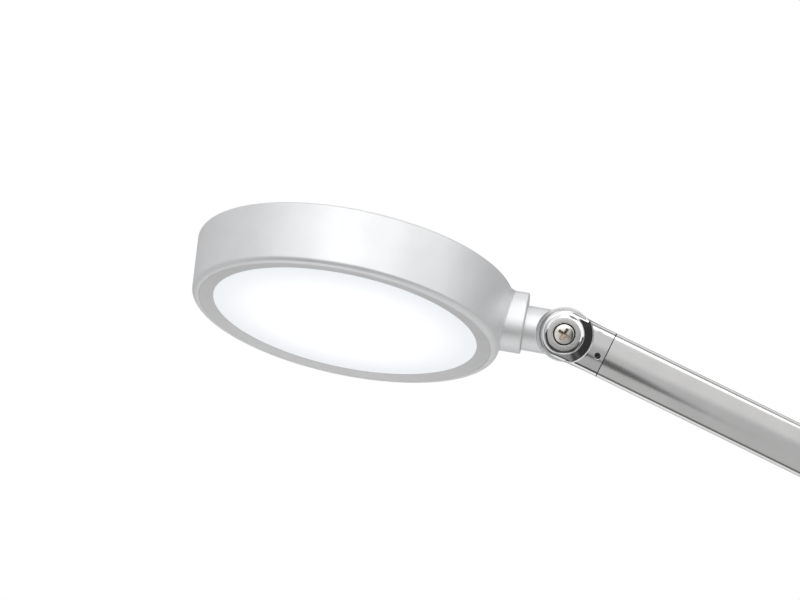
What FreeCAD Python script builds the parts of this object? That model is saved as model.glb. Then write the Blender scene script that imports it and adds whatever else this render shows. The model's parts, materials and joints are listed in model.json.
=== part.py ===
"""Architect desk lamp: weighted round base, two flat-oval arms, friction knuckles and a round LED head.

Millimetres, +Z up.  The origin is the centre of the base's underside.  The arms fold in the XZ plane, the
head points towards -X and the light face is turned towards -Y.  Every sub-part is written to parts/NODE.step.
"""
import FreeCAD, Part
import math
import os

V = FreeCAD.Vector
X_AXIS = V(1, 0, 0)
Y_AXIS = V(0, 1, 0)
Z_AXIS = V(0, 0, 1)
ORIGIN = V(0, 0, 0)

# ------------------------------------------------------------------ rest pose, degrees
lower_arm_lift = 62.0        # lower arm above the desk plane
upper_arm_tilt = 26.3        # upper arm, falling away from the head
neck_tilt = 10.0             # neck axis, falling away from the head
head_turn_angle = 19.8       # light face turned towards -Y about the neck axis

# ------------------------------------------------------------------ arms
lower_arm_length = 380.0     # shoulder axis to elbow axis
upper_arm_length = 380.0     # elbow axis to neck hinge axis
arm_height = 23.8
arm_depth = 18.0
arm_crown = 0.8              # bulge of the two broad faces
arm_edge_radius = 2.6
arm_wall = 1.6
insert_clearance = 0.15
insert_grip = 18.0           # length of an end insert inside the tube
set_screw_radius = 1.5
set_screw_inset = 3.6        # set screw axis, measured from the knuckle's seam
set_screw_drop = 2.4         # set screw axis, below the arm's centre line
set_screw_sink = 0.6         # outer end below the arm's broad face
set_screw_length = 3.0
set_screw_key = 0.75

# ------------------------------------------------------------------ knuckle hinges
cheek_swell = 0.6            # cheek's round edge beyond the arm's edge
cheek_thickness = 2.2
cheek_rounding = 1.8
boss_radius = 8.7
boss_setback = 0.2           # boss face below the arm's broad face
boss_rounding = 0.8
boss_slope = 1.7             # from the boss face's edge to the valley round it
scoop_floor = 1.2            # flat ring of the valley
scoop_sweep = 3.4            # radius of the concave sweep up to the full section
section_root_gap = 0.5       # arm section's two corners begin this far beyond the cheek
tongue_reveal = 1.2          # tongue's rim beyond the cheek's
tongue_thickness = 7.6
tongue_chamfer = 0.5
slot_clearance = 0.5         # tongue rim to slot floor
friction_washer_thickness = 0.5
friction_washer_margin = 3.0  # washer's rim inside the cheek's
friction_play = 0.05
web_thickness = 2.8          # slot floor to insert socket
socket_depth = 6.2
elbow_slot_radius = 27.0     # deeper slot that lets the elbow fold
elbow_waist = 1.0            # elbow tongue narrower than the arm, each edge

# ------------------------------------------------------------------ hinge fasteners
screw_radius = 2.5
screw_head_radius = 5.0
screw_head_height = 2.4
screw_head_sink = 0.2
screw_head_dome = 0.35
screw_recess_span = 5.2
screw_recess_width = 1.0
screw_recess_depth = 1.3
counterbore_gap = 0.7
counterbore_bevel = 0.35
nut_wall = 1.5               # from the thread to a flat
nut_thickness = 2.7
nut_clearance = 0.2
spring_washer_thickness = 0.5
running_clearance = 0.05
loose_clearance = 0.1

# ------------------------------------------------------------------ neck and base stem
neck_radius = 11.25
neck_step_clearance = 0.3    # neck is cut back round the tongue's rim
neck_flare = 8.0             # radius that blends the neck into the tongue
neck_length = 20.6           # hinge axis to the collar face
slip_washer_thickness = 0.4
slip_washer_inset = 0.45
stub_radius = 5.0
stub_bore = 2.1
pivot_nut_wall = 2.0
pivot_nut_thickness = 3.0
wave_washer_width = 2.6
wave_washer_thickness = 0.8
stub_end_margin = 0.7        # stub beyond its nut

# ------------------------------------------------------------------ leads
lead_radius = 1.5
lead_clearance = 0.3
lead_bend = 8.0
lead_wrap = 140.0            # degrees of groove that the lead follows
lead_end_gap = 0.5
base_lead_bend = 2.4
driver_lead_bend = 4.0

# ------------------------------------------------------------------ head, in its own drum frame
face_radius = 75.8
face_drop = 15.1             # light face below the neck axis
band_front_rounding = 2.8
band_edge = 2.5              # flank's front end beyond the light face
band_flare = 3.0             # flank's rear end beyond its front end
band_rear_rounding = 1.3
band_rear_step = 1.7
band_rear_height = 14.7      # rear edge above the neck axis
band_wall = 2.2
rear_cover_thickness = 2.0
rear_cover_dome = 4.5
cover_gap = 0.2
bezel_width = 8.4            # from the face's edge to the diffuser's opening
bezel_depth = 4.0
bezel_lip = 1.3
bezel_ledge = 1.0            # ring inside the band that stops the bezel
diffuser_recess = 1.2
diffuser_thickness = 2.0
diffuser_overlap = 2.0
collar_depth = 7.5           # collar face beyond the band's rear radius
collar_half_height = 15.0
collar_half_width = 14.5
collar_rise = 2.2            # collar's centre above the neck axis
collar_squareness = 2.4      # exponent of the collar's super-ellipse
collar_seat = 0.4            # seat's plane beyond the band's flank
collar_points = 32
pad_radius = 9.8
pad_depth = 0.9              # pad's inner face beyond the band's inner wall
shelf_inset = 4.4            # shelf's opening inside the diffuser's
shelf_height = 1.0
shelf_thickness = 2.0
shelf_relief = 1.7           # shelf's notch beyond the pad, each side
spreader_clearance = 1.3     # heat spreader's rim to the neck's stub
spreader_thickness = 2.0
spreader_screw_inset = 3.3
spreader_screw_count = 4
led_board_clearance = 0.6
led_board_thickness = 1.6
led_size = 3.0
led_height = 0.7
led_rim_inset = 6.4          # outer ring of LEDs inside the board's rim
led_ring_pitch = 18.0
led_ring_count = 3
led_ring_step_count = 6      # LEDs of the first ring, and more in each next one
reflector_wall = 1.2
reflector_inset = 1.4        # reflector's rear edge inside the LED board's rim
small_screw_radius = 1.5
small_head_radius = 2.6
small_head_height = 1.6
cover_post_radius = 3.4
cover_post_clearance = 0.8   # post to the heat spreader's rim
cover_screw_count = 4
cover_screw_start = 45.0     # degrees from the neck, so that no post meets the pivot
screw_tip_room = 1.0         # hole beyond a screw's tip
board_length = 46.0
board_width = 30.0
board_thickness = 1.6
board_lift = 2.4             # driver board above the heat spreader
standoff_radius = 2.2
driver_part_height = 3.2

# ------------------------------------------------------------------ power button
button_radius = 6.5
button_clearance = 0.3
button_proud = 1.2
button_travel = 0.8
button_flange = 1.4
button_flange_thickness = 1.0
button_stem_radius = 2.0
switch_side = 6.0
switch_wall_gap = 0.1
switch_rise = 2.4

# ------------------------------------------------------------------ base
cover_radius = 108.0
cover_wall = 2.0
cover_lift = 1.0             # cover's lower rim above the desk
cover_edge_radius = 5.0
cover_weight_gap = 0.3
weight_rim_gap = 1.5         # weight's rim inside the cover's wall
weight_thickness = 12.0
weight_edge_chamfer = 1.0
foot_inset = 0.5             # rubber foot inside the weight's rim
foot_thickness = 2.0
stem_height = 45.0           # shoulder axis above the base cover
flange_radius = 20.0
flange_thickness = 3.5
flange_rounding = 1.5
swivel_washer_inset = 2.0
swivel_washer_thickness = 0.6
pocket_radius = 13.0
pocket_web = 3.0             # weight left between the pocket and its top
base_screw_circle = 60.0
base_screw_count = 3
base_screw_start = 30.0      # degrees, so that no screw meets the inlet's lead
base_screw_radius = 2.0
base_screw_head_radius = 4.0
base_screw_head_height = 2.2
base_boss_wall = 2.5
base_boss_drop = 5.0
base_screw_depth = 4.0       # screw inside the cover's boss
inlet_nose_radius = 3.8
inlet_side = 0.7             # housing beyond the nose, each side
inlet_cheek = 0.4            # housing beyond the nose, above and below
inlet_depth = 13.0
inlet_floor_gap = 0.8        # housing above the rubber foot
inlet_bore_wall = 1.05
inlet_bore_depth = 9.5
inlet_pin_radius = 1.0
inlet_pin_sink = 1.0         # pin's tip inside the mouth
inlet_clearance = 0.3
overrun = 1.0                # cutters pass the faces they open by this much

# ------------------------------------------------------------------ knuckles and fasteners, worked out
cheek_radius = arm_height / 2 + cheek_swell
boss_foot = boss_radius + boss_slope
scoop_radius = boss_foot + scoop_floor + scoop_sweep
section_root_radius = cheek_radius + section_root_gap
tongue_radius = cheek_radius + tongue_reveal
slot_radius = tongue_radius + slot_clearance
slot_half = tongue_thickness / 2 + friction_washer_thickness + friction_play
floor_level = slot_half + cheek_thickness
boss_level = arm_depth / 2 - boss_setback
knuckle_length = slot_radius + web_thickness + socket_depth
elbow_knuckle_length = elbow_slot_radius + web_thickness + socket_depth
friction_washer_radius = cheek_radius - friction_washer_margin
counterbore_radius = screw_head_radius + counterbore_gap
counterbore_floor = boss_level - screw_head_sink - screw_head_height
nut_flats = 2 * (screw_radius + nut_wall)
nut_pocket_floor = boss_level - spring_washer_thickness - nut_thickness
spring_washer_radius = nut_flats / 2 - loose_clearance
neck_step_radius = tongue_radius + neck_step_clearance
lead_groove_radius = tongue_radius - lead_radius - lead_clearance
slip_washer_radius = neck_radius - slip_washer_inset
pivot_nut_flats = 2 * (stub_radius + pivot_nut_wall)
wave_washer_radius = stub_radius + wave_washer_width
pivot_stack = wave_washer_thickness + pivot_nut_thickness + stub_end_margin

# ------------------------------------------------------------------ head, worked out
band_front_radius = face_radius + band_edge
band_rear_radius = band_front_radius + band_flare
flank_low = -face_drop + band_front_rounding
flank_high = band_rear_height - band_rear_rounding
flank_slope = math.degrees(math.atan2(band_flare, flank_high - flank_low))
rear_seat_radius = band_rear_radius - band_rear_step
rear_post_top = band_rear_height - rear_cover_thickness
rear_cover_radius = rear_seat_radius - bezel_lip - cover_gap
head_reach = neck_length + collar_depth + band_rear_radius
pad_reach = head_reach - (band_front_radius - band_wall) + pad_depth
stub_end = pad_reach + pivot_stack
diffuser_radius = face_radius - bezel_width
diffuser_front = -face_drop + diffuser_recess
diffuser_rear = diffuser_front + diffuser_thickness
diffuser_step = diffuser_front + bezel_lip / 2
spreader_radius = head_reach - stub_end - spreader_clearance
shelf_inner_radius = diffuser_radius - shelf_inset
spreader_rear = shelf_height + shelf_thickness + spreader_thickness
spreader_screw_circle = shelf_inner_radius + spreader_screw_inset
cover_post_circle = spreader_radius + cover_post_clearance + cover_post_radius
led_board_radius = shelf_inner_radius - led_board_clearance
led_face = shelf_height + shelf_thickness - led_board_thickness
reflector_rear_radius = led_board_radius - reflector_inset
driver_lead_rise = head_reach - stub_end - driver_lead_bend - lead_end_gap
switch_floor = spreader_rear + board_lift + board_thickness + lead_clearance

# ------------------------------------------------------------------ base, worked out
weight_radius = cover_radius - cover_wall - weight_rim_gap
weight_top = foot_thickness + weight_thickness
foot_radius = weight_radius - foot_inset
base_top = weight_top + cover_weight_gap + cover_wall
stem_reach = stem_height - swivel_washer_thickness
stem_seat = stem_height + base_top - weight_top + pocket_web
stem_stub_end = stem_seat + pivot_stack
swivel_washer_radius = flange_radius - swivel_washer_inset
base_lead_level = foot_thickness + lead_radius + loose_clearance
base_boss_radius = base_screw_radius + base_boss_wall
inlet_width = 2 * (inlet_nose_radius + inlet_side)
inlet_height = 2 * (inlet_nose_radius + inlet_cheek)
inlet_lift = foot_thickness + inlet_floor_gap + inlet_height / 2
inlet_bore_radius = inlet_nose_radius - inlet_bore_wall
inlet_front = cover_radius - cover_wall - lead_clearance
inlet_rear = inlet_front - inlet_depth

# ------------------------------------------------------------------ joints of the rest pose
shoulder = V(0, 0, base_top + stem_height)
elbow = shoulder + V(
    lower_arm_length * math.cos(math.radians(lower_arm_lift)),
    0,
    lower_arm_length * math.sin(math.radians(lower_arm_lift)),
)
wrist = elbow + V(
    -upper_arm_length * math.cos(math.radians(upper_arm_tilt)),
    0,
    upper_arm_length * math.sin(math.radians(upper_arm_tilt)),
)
neck_direction = V(-math.cos(math.radians(neck_tilt)), 0, math.sin(math.radians(neck_tilt)))
head_centre = wrist + neck_direction * head_reach


# ------------------------------------------------------------------ small helpers
def tube_of(radius, start, end, axis=X_AXIS):
    """Solid cylinder along axis from distance start to distance end."""
    return Part.makeCylinder(radius, end - start, axis * start, axis)


def ring_of(outer, inner, start, end, axis=Z_AXIS):
    """Flat ring along axis."""
    return tube_of(outer, start, end, axis).cut(tube_of(inner, start, end, axis))


def block(low, high):
    """Box between two corners."""
    size = high - low
    return Part.makeBox(size.x, size.y, size.z, low)


def polyline_face(points):
    """Plane face inside a closed run of points and (through, end) arcs."""
    edges = []
    here = points[0]
    for item in points[1:] + [points[0]]:
        if isinstance(item, tuple):
            through, end = item
            edges.append(Part.Arc(here, through, end).toShape())
            here = end
        else:
            edges.append(Part.LineSegment(here, item).toShape())
            here = item
    return Part.Face(Part.Wire(edges))


def spun(points, axis):
    """Solid of revolution of a closed profile about an axis through the origin."""
    return polyline_face(points).revolve(ORIGIN, axis, 360)


def arc_point(centre_a, centre_b, radius, degrees):
    """Point of a circle in a half plane, as a pair of numbers."""
    angle = math.radians(degrees)
    return centre_a + radius * math.cos(angle), centre_b + radius * math.sin(angle)


def edges_along(solid, axis, length):
    """Straight edges of the given length that run along axis."""
    chosen = []
    for edge in solid.Edges:
        if abs(edge.Length - length) > 1e-4 or len(edge.Vertexes) != 2:
            continue
        run = edge.Vertexes[1].Point - edge.Vertexes[0].Point
        if abs(abs(run.dot(axis)) - length) < 1e-4:
            chosen.append(edge)
    return chosen


def hexagon(flats, start, end, axis):
    """Hexagonal prism along axis, flats across given, with a flat facing +X or +Z."""
    corner = flats / math.sqrt(3)
    side = Z_AXIS if axis != Z_AXIS else X_AXIS
    points = [FreeCAD.Rotation(axis, 60 * k + 30).multVec(side * corner) + axis * start for k in range(6)]
    return polyline_face(points).extrude(axis * (end - start))


def on_circle(count, radius, start_angle=0.0):
    """Evenly spaced points round the Z axis."""
    places = []
    for k in range(count):
        angle = math.radians(start_angle + 360.0 * k / count)
        places.append(V(radius * math.cos(angle), radius * math.sin(angle), 0))
    return places


def moved(shape, offset):
    """Copy of a shape, moved."""
    copy = shape.copy()
    copy.translate(offset)
    return copy


def turned(shape, axis, degrees):
    """Copy of a shape, turned about an axis through the origin."""
    copy = shape.copy()
    copy.rotate(ORIGIN, axis, degrees)
    return copy


# ------------------------------------------------------------------ arm section
def arm_prism(start, end, inset=0.0):
    """Flat-oval arm section, inset all round, from x = start to x = end."""
    half_z = arm_height / 2 - inset
    half_y = arm_depth / 2 - inset
    flank = half_y - arm_crown
    profile = [
        V(start, -flank, half_z),
        (V(start, -half_y, 0), V(start, -flank, -half_z)),
        V(start, flank, -half_z),
        (V(start, half_y, 0), V(start, flank, half_z)),
    ]
    prism = polyline_face(profile).extrude(V(end - start, 0, 0))
    radius = max(arm_edge_radius - inset, arm_edge_radius / 4)
    return prism.makeFillet(radius, edges_along(prism, X_AXIS, end - start))


# ------------------------------------------------------------------ knuckles
def scoop_tool(side):
    """Round cutter that leaves the boss standing in its valley, on the side given by -1 or +1."""
    rise = floor_level + scoop_sweep
    sweep_start = scoop_radius - scoop_sweep
    beyond = arm_depth
    mid_a, mid_b = arc_point(sweep_start, rise, scoop_sweep, -45)
    round_a, round_b = arc_point(boss_radius, boss_level - boss_rounding, boss_rounding, 45)
    round_end_a, round_end_b = arc_point(boss_radius, boss_level - boss_rounding, boss_rounding, 0)
    profile = [
        V(0, side * boss_level, 0),
        V(boss_radius, side * boss_level, 0),
        (V(round_a, side * round_b, 0), V(round_end_a, side * round_end_b, 0)),
        V(boss_foot, side * floor_level, 0),
        V(sweep_start, side * floor_level, 0),
        (V(mid_a, side * mid_b, 0), V(scoop_radius, side * rise, 0)),
        V(scoop_radius, side * beyond, 0),
        V(0, side * beyond, 0),
    ]
    return spun(profile, Y_AXIS)


def boss(side):
    """Round boss that carries the hinge screw, on one cheek."""
    round_a, round_b = arc_point(boss_radius, boss_level - boss_rounding, boss_rounding, 45)
    round_end_a, round_end_b = arc_point(boss_radius, boss_level - boss_rounding, boss_rounding, 0)
    inside = side * (slot_half + cheek_thickness / 2)
    profile = [
        V(0, inside, 0),
        V(0, side * boss_level, 0),
        V(boss_radius, side * boss_level, 0),
        (V(round_a, side * round_b, 0), V(round_end_a, side * round_end_b, 0)),
        V(boss_foot, side * floor_level, 0),
        V(boss_foot, inside, 0),
    ]
    return spun(profile, Y_AXIS)


def cheek_plate(reach):
    """Rounded plate of both cheeks: the disc about the hinge and its tangents to the arm's edges."""
    half = arm_height / 2
    distance = math.hypot(reach, half)
    lean = math.atan2(half, reach) + math.acos(min(1.0, cheek_radius / distance))
    touch = V(cheek_radius * math.cos(lean), -floor_level, cheek_radius * math.sin(lean))
    mirrored = V(touch.x, touch.y, -touch.z)
    outline = [
        V(reach, -floor_level, half),
        touch,
        (V(-cheek_radius, -floor_level, 0), mirrored),
        V(reach, -floor_level, -half),
    ]
    plate = polyline_face(outline).extrude(V(0, 2 * floor_level, 0))
    rims = []
    for edge in plate.Edges:
        box = edge.BoundBox
        flat = box.YLength < 1e-6 and box.XMax > box.XMin + 1e-6
        if flat:
            rims.append(edge)
    return plate.makeFillet(cheek_rounding, rims)


def screw_seats(solid):
    """Counterbore for the screw head on the front cheek, nut pocket on the back cheek, and the holes."""
    solid = solid.cut(tube_of(screw_radius + loose_clearance, -arm_depth, arm_depth, Y_AXIS))
    solid = solid.cut(tube_of(counterbore_radius, -arm_depth, -counterbore_floor, Y_AXIS))
    bevel = Part.makeCone(
        counterbore_radius,
        counterbore_radius + counterbore_bevel,
        counterbore_bevel,
        V(0, -(boss_level - counterbore_bevel), 0),
        V(0, -1, 0),
    )
    solid = solid.cut(bevel)
    return solid.cut(hexagon(nut_flats + nut_clearance, nut_pocket_floor, arm_depth, Y_AXIS))


def arm_socket(length, socket):
    """Cavity that takes the arm's end insert."""
    return arm_prism(length - socket, length + overrun, arm_wall)


def set_screw_hole(length):
    """Threaded hole for the set screw, through the front wall of a knuckle."""
    place = V(length - set_screw_inset, -arm_depth, -set_screw_drop)
    return Part.makeCylinder(set_screw_radius, arm_depth, place, Y_AXIS)


def lead_hole(start, end):
    """Round passage for the lead along the arm's axis."""
    return tube_of(lead_radius + lead_clearance, start, end)


def clevis(slot, length):
    """Chrome fork with two cheeks about the hinge, opening into the arm's full section."""
    body = arm_prism(0, length).cut(tube_of(section_root_radius, -arm_depth, arm_depth, Y_AXIS))
    body = body.fuse(cheek_plate(length - socket_depth))
    for side in (-1, 1):
        body = body.cut(scoop_tool(side))
        body = body.fuse(boss(side))
    gap = tube_of(slot, -slot_half, slot_half, Y_AXIS)
    gap = gap.fuse(block(V(-2 * tongue_radius, -slot_half, -2 * slot), V(0, slot_half, 2 * slot)))
    body = body.cut(gap)
    body = screw_seats(body)
    body = body.cut(arm_socket(length, socket_depth))
    body = body.cut(lead_hole(slot - overrun, length))
    body = body.cut(set_screw_hole(length))
    return body.removeSplitter()


def lead_path(straight_end, wrap):
    """Lead's centre line: straight in from +X, an easy bend, then round the tongue's rim groove."""
    ring = lead_groove_radius
    bend = lead_bend
    centre_x = math.sqrt((ring + bend) ** 2 - bend**2)
    touch = V(centre_x * ring / (ring + bend), 0, bend * ring / (ring + bend))
    start_angle = math.degrees(math.atan2(touch.z, touch.x))
    centre = V(centre_x, 0, bend)
    middle_direction = ((V(centre_x, 0, 0) - centre) + (touch - centre)).normalize()
    edges = [
        Part.LineSegment(V(straight_end, 0, 0), V(centre_x, 0, 0)).toShape(),
        Part.Arc(V(centre_x, 0, 0), centre + middle_direction * bend, touch).toShape(),
    ]

    def rim(angle):
        return V(ring * math.cos(math.radians(angle)), 0, ring * math.sin(math.radians(angle)))

    edges.append(Part.Arc(touch, rim(start_angle + wrap / 2), rim(start_angle + wrap)).toShape())
    return Part.Wire(edges)


def swept(path, radius):
    """Round tube along a path that starts along the X axis."""
    start = path.Edges[0].Vertexes[0].Point
    circle = Part.Wire(Part.Circle(start, X_AXIS, radius).toShape())
    return path.makePipeShell([circle], True, False)


def groove(depth_from):
    """Rim groove of a tongue, as a ring cutter about the hinge axis."""
    half = lead_radius + lead_clearance
    outer = tongue_radius + overrun
    return ring_of(outer, depth_from, -half, half, Y_AXIS)


def tongue_plate(reach, half_width):
    """Plate of the tongue: rim disc, and a stem of the given half width along +X blended into it."""
    blend = neck_flare
    level = -tongue_thickness / 2
    centre_x = math.sqrt((tongue_radius + blend) ** 2 - (half_width + blend) ** 2)
    centre_z = half_width + blend
    scale = tongue_radius / (tongue_radius + blend)
    touch = V(centre_x * scale, level, centre_z * scale)
    middle = V(centre_x, level, centre_z) + (
        (touch - V(centre_x, level, centre_z)) + V(0, 0, -blend)
    ).normalize() * blend

    def below(point):
        return V(point.x, point.y, -point.z)

    outline = [
        V(reach, level, half_width),
        V(centre_x, level, half_width),
        (middle, touch),
        (V(-tongue_radius, level, 0), below(touch)),
        (below(middle), V(centre_x, level, -half_width)),
        V(reach, level, -half_width),
    ]
    plate = polyline_face(outline).extrude(V(0, tongue_thickness, 0))
    rims = []
    for edge in plate.Edges:
        box = edge.BoundBox
        if box.YLength < 1e-6 and box.XMin < -tongue_radius + 1e-3:
            rims.append(edge)
    return plate.makeChamfer(tongue_chamfer, rims)


def tongue_knuckle():
    """Chrome tongue that closes the upper arm at the elbow."""
    length = elbow_knuckle_length
    body = tongue_plate(length - socket_depth, arm_height / 2 - elbow_waist)
    shoulder_start = elbow_slot_radius + slot_clearance
    cap = arm_prism(shoulder_start, length)
    body = body.fuse(cap)
    body = body.cut(tube_of(screw_radius + running_clearance, -arm_depth, arm_depth, Y_AXIS))
    body = body.cut(arm_socket(length, socket_depth))
    body = body.cut(groove(lead_groove_radius - lead_radius - lead_clearance))
    body = body.cut(swept(lead_path(length, lead_wrap), lead_radius + lead_clearance))
    body = body.cut(set_screw_hole(length))
    return body.removeSplitter()


def neck_body(shoulder_reach, stub_reach):
    """Satin neck along +X: tongue, round neck up to its shoulder, and a hollow threaded stub beyond."""
    body = tube_of(neck_radius, 0, shoulder_reach)
    for side in (-1, 1):
        outward = [side * tongue_thickness / 2, side * arm_depth]
        body = body.cut(tube_of(neck_step_radius, min(outward), max(outward), Y_AXIS))
    flat_half_width = math.sqrt(neck_radius**2 - (tongue_thickness / 2) ** 2)
    body = body.fuse(tongue_plate(shoulder_reach, flat_half_width))
    body = body.fuse(tube_of(stub_radius, shoulder_reach - overrun, stub_reach))
    body = body.cut(tube_of(screw_radius + running_clearance, -arm_depth, arm_depth, Y_AXIS))
    body = body.cut(groove(lead_groove_radius - lead_radius - lead_clearance))
    body = body.cut(swept(lead_path(stub_reach + overrun, lead_wrap), lead_radius + lead_clearance))
    body = body.cut(tube_of(stub_bore, shoulder_reach, stub_reach + overrun))
    return body


# ------------------------------------------------------------------ hinge hardware, in the hinge's own frame
def hinge_screw():
    """Cross-recessed screw: head in the front cheek's counterbore, shank through to the nut."""
    seat = -counterbore_floor
    face = seat - screw_head_height
    dome = V(0, face - screw_head_dome, 0)
    head = spun(
        [
            V(0, seat, 0),
            dome,
            (V(screw_head_radius * 0.55, face - screw_head_dome * 0.72, 0), V(screw_head_radius, face, 0)),
            V(screw_head_radius, seat, 0),
        ],
        Y_AXIS,
    )
    shank_end = nut_pocket_floor + spring_washer_thickness + nut_thickness
    screw = head.fuse(tube_of(screw_radius, seat, shank_end, Y_AXIS))
    for angle in (45, 135):
        slot = block(
            V(-screw_recess_span / 2, face - overrun, -screw_recess_width / 2),
            V(screw_recess_span / 2, face + screw_recess_depth, screw_recess_width / 2),
        )
        screw = screw.cut(turned(slot, Y_AXIS, angle))
    return screw.removeSplitter()


def hinge_spring_washer():
    """Spring washer under the nut."""
    end = nut_pocket_floor + spring_washer_thickness
    return ring_of(spring_washer_radius, screw_radius + loose_clearance, nut_pocket_floor, end, Y_AXIS)


def hinge_nut():
    """Thin hexagon nut held in the back cheek's pocket."""
    start = nut_pocket_floor + spring_washer_thickness
    nut = hexagon(nut_flats, start, start + nut_thickness, Y_AXIS)
    return nut.cut(tube_of(screw_radius, start, start + nut_thickness, Y_AXIS))


def friction_washers():
    """Two nylon discs, one on the inner face of each cheek."""
    inner = screw_radius + loose_clearance
    front = ring_of(friction_washer_radius, inner, -slot_half, -slot_half + friction_washer_thickness, Y_AXIS)
    back = ring_of(friction_washer_radius, inner, slot_half - friction_washer_thickness, slot_half, Y_AXIS)
    return Part.makeCompound([front, back])


# ------------------------------------------------------------------ arms, in the frame of one hinge
def arm_tube(start, end):
    """Extruded flat-oval tube between two knuckles."""
    return arm_prism(start, end).cut(arm_prism(start - overrun, end + overrun, arm_wall))


def set_screw_at(seam, radius, length):
    """Cylinder on the set screw's axis, from the screw's outer end inwards."""
    place = V(seam - set_screw_inset, -(arm_depth / 2 - set_screw_sink), -set_screw_drop)
    return Part.makeCylinder(radius, length, place, Y_AXIS)


def set_screw(seam):
    """Headless screw in a knuckle's front wall, its tip sunk in the insert."""
    key = set_screw_at(seam, set_screw_key, set_screw_length / 2)
    return set_screw_at(seam, set_screw_radius, set_screw_length).cut(key)


def end_insert(seam):
    """Block that joins a knuckle at its seam to the tube, bored for the lead."""
    block_start = seam - socket_depth + insert_clearance
    body = arm_prism(block_start, seam + insert_grip, arm_wall + insert_clearance)
    body = body.cut(set_screw_at(seam, set_screw_radius, set_screw_length))
    return body.cut(lead_hole(block_start - overrun, seam + insert_grip + overrun))


def far_end(shape, length):
    """Same piece at an arm's other end, its front kept towards -Y."""
    return moved(turned(shape, Y_AXIS, 180), V(length, 0, 0))


def both_ends(builder, near_seam, far_seam, length):
    """The same small piece at the two seams of an arm."""
    return Part.makeCompound([builder(near_seam), far_end(builder(far_seam), length)])


# ------------------------------------------------------------------ leads
def lead_run(corners, bend):
    """Centre line through square corners, each rounded with the same bend."""
    edges = []
    here = corners[0]
    for k in range(1, len(corners) - 1):
        corner = corners[k]
        back = (corners[k - 1] - corner).normalize()
        ahead = (corners[k + 1] - corner).normalize()
        inward = back + ahead
        centre = corner + inward * bend
        middle = centre - inward.normalize() * bend
        edges.append(Part.LineSegment(here, corner + back * bend).toShape())
        edges.append(Part.Arc(corner + back * bend, middle, corner + ahead * bend).toShape())
        here = corner + ahead * bend
    edges.append(Part.LineSegment(here, corners[-1]).toShape())
    return Part.Wire(edges)


def upper_arm_lead():
    """Lead through the upper arm, its far end wrapped on the elbow tongue."""
    straight_end = upper_arm_length - slot_radius - lead_end_gap
    return far_end(swept(lead_path(straight_end, lead_wrap), lead_radius), upper_arm_length)


def lower_arm_lead():
    """Straight lead through the lower arm."""
    start = elbow_slot_radius + lead_end_gap
    return tube_of(lead_radius, start, lower_arm_length - slot_radius - lead_end_gap)


def base_lead():
    """Lead under the weight, from the inlet to the swivel, turned up into the stem."""
    rise = base_top + stem_height - stem_stub_end - lead_end_gap / 2
    corners = [V(inlet_rear, 0, base_lead_level), V(0, 0, base_lead_level), V(0, 0, rise)]
    return turned(swept(lead_run(corners, base_lead_bend), lead_radius), Z_AXIS, 90)


def driver_lead():
    """Lead from the neck's stub, up through the spreader's notch and across to the driver board."""
    level = spreader_rear + board_lift + board_thickness / 2
    corners = [
        V(head_reach - stub_end - lead_end_gap / 2, 0, 0),
        V(driver_lead_rise, 0, 0),
        V(driver_lead_rise, 0, level),
        V(board_length / 2 + lead_end_gap / 2, 0, level),
    ]
    return swept(lead_run(corners, driver_lead_bend), lead_radius)


# ------------------------------------------------------------------ head, in the drum frame
# The origin is where the neck axis meets the drum's axis.  +Z points to the rear cover, +X to the neck hinge.


def drum_solid():
    """Solid that fills the drum's outside: front rounding, conical flank, rear rounding."""
    front_bulge = V(
        face_radius + (band_front_radius - face_radius) * 0.68,
        0,
        -face_drop + band_front_rounding * 0.26,
    )
    rear_bulge = V(
        rear_seat_radius + (band_rear_radius - rear_seat_radius) * 0.72,
        0,
        band_rear_height - band_rear_rounding * 0.28,
    )
    profile = [
        V(0, 0, -face_drop),
        V(face_radius, 0, -face_drop),
        (front_bulge, V(band_front_radius, 0, flank_low)),
        V(band_rear_radius, 0, flank_high),
        (rear_bulge, V(rear_seat_radius, 0, band_rear_height)),
        V(0, 0, band_rear_height),
    ]
    return spun(profile, Z_AXIS)


def drum_cavity():
    """Room inside the band, with the bezel's seat and ledge in front and the rear cover's opening behind."""
    seat = face_radius - bezel_lip
    stop = -face_drop + bezel_depth
    opening = rear_seat_radius - bezel_lip
    profile = [
        V(0, 0, -face_drop - overrun),
        V(seat, 0, -face_drop - overrun),
        V(seat, 0, stop),
        V(seat - bezel_ledge, 0, stop),
        V(seat - bezel_ledge, 0, stop + bezel_ledge),
        V(band_front_radius - band_wall, 0, stop + 2 * bezel_ledge),
        V(band_rear_radius - band_wall, 0, rear_post_top),
        V(opening, 0, rear_post_top),
        V(opening, 0, band_rear_height + overrun),
        V(0, 0, band_rear_height + overrun),
    ]
    return spun(profile, Z_AXIS)


def along_neck(shape):
    """Puts a shape built from the neck hinge along +X into the drum frame."""
    return moved(turned(shape, Z_AXIS, 180), V(head_reach, 0, 0))


def cover_post_places():
    """Axes of the rear cover's posts, none of them at the neck."""
    return on_circle(cover_screw_count, cover_post_circle, cover_screw_start)


def spreader_places():
    """Screw places of the heat spreader, clear of the neck's notch in the shelf."""
    return on_circle(spreader_screw_count, spreader_screw_circle, 180.0 / spreader_screw_count)


def collar_section():
    """Super-ellipse in the plane across the neck axis, as one closed spline."""
    power = 2.0 / collar_squareness
    points = []
    for k in range(collar_points):
        angle = 2 * math.pi * k / collar_points
        across = math.copysign(abs(math.cos(angle)) ** power, math.cos(angle))
        upward = math.copysign(abs(math.sin(angle)) ** power, math.sin(angle))
        points.append(V(0, collar_half_width * across, collar_rise + collar_half_height * upward))
    curve = Part.BSplineCurve()
    curve.interpolate(Points=points, PeriodicFlag=True)
    return Part.Face(Part.Wire(curve.toShape()))


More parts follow.
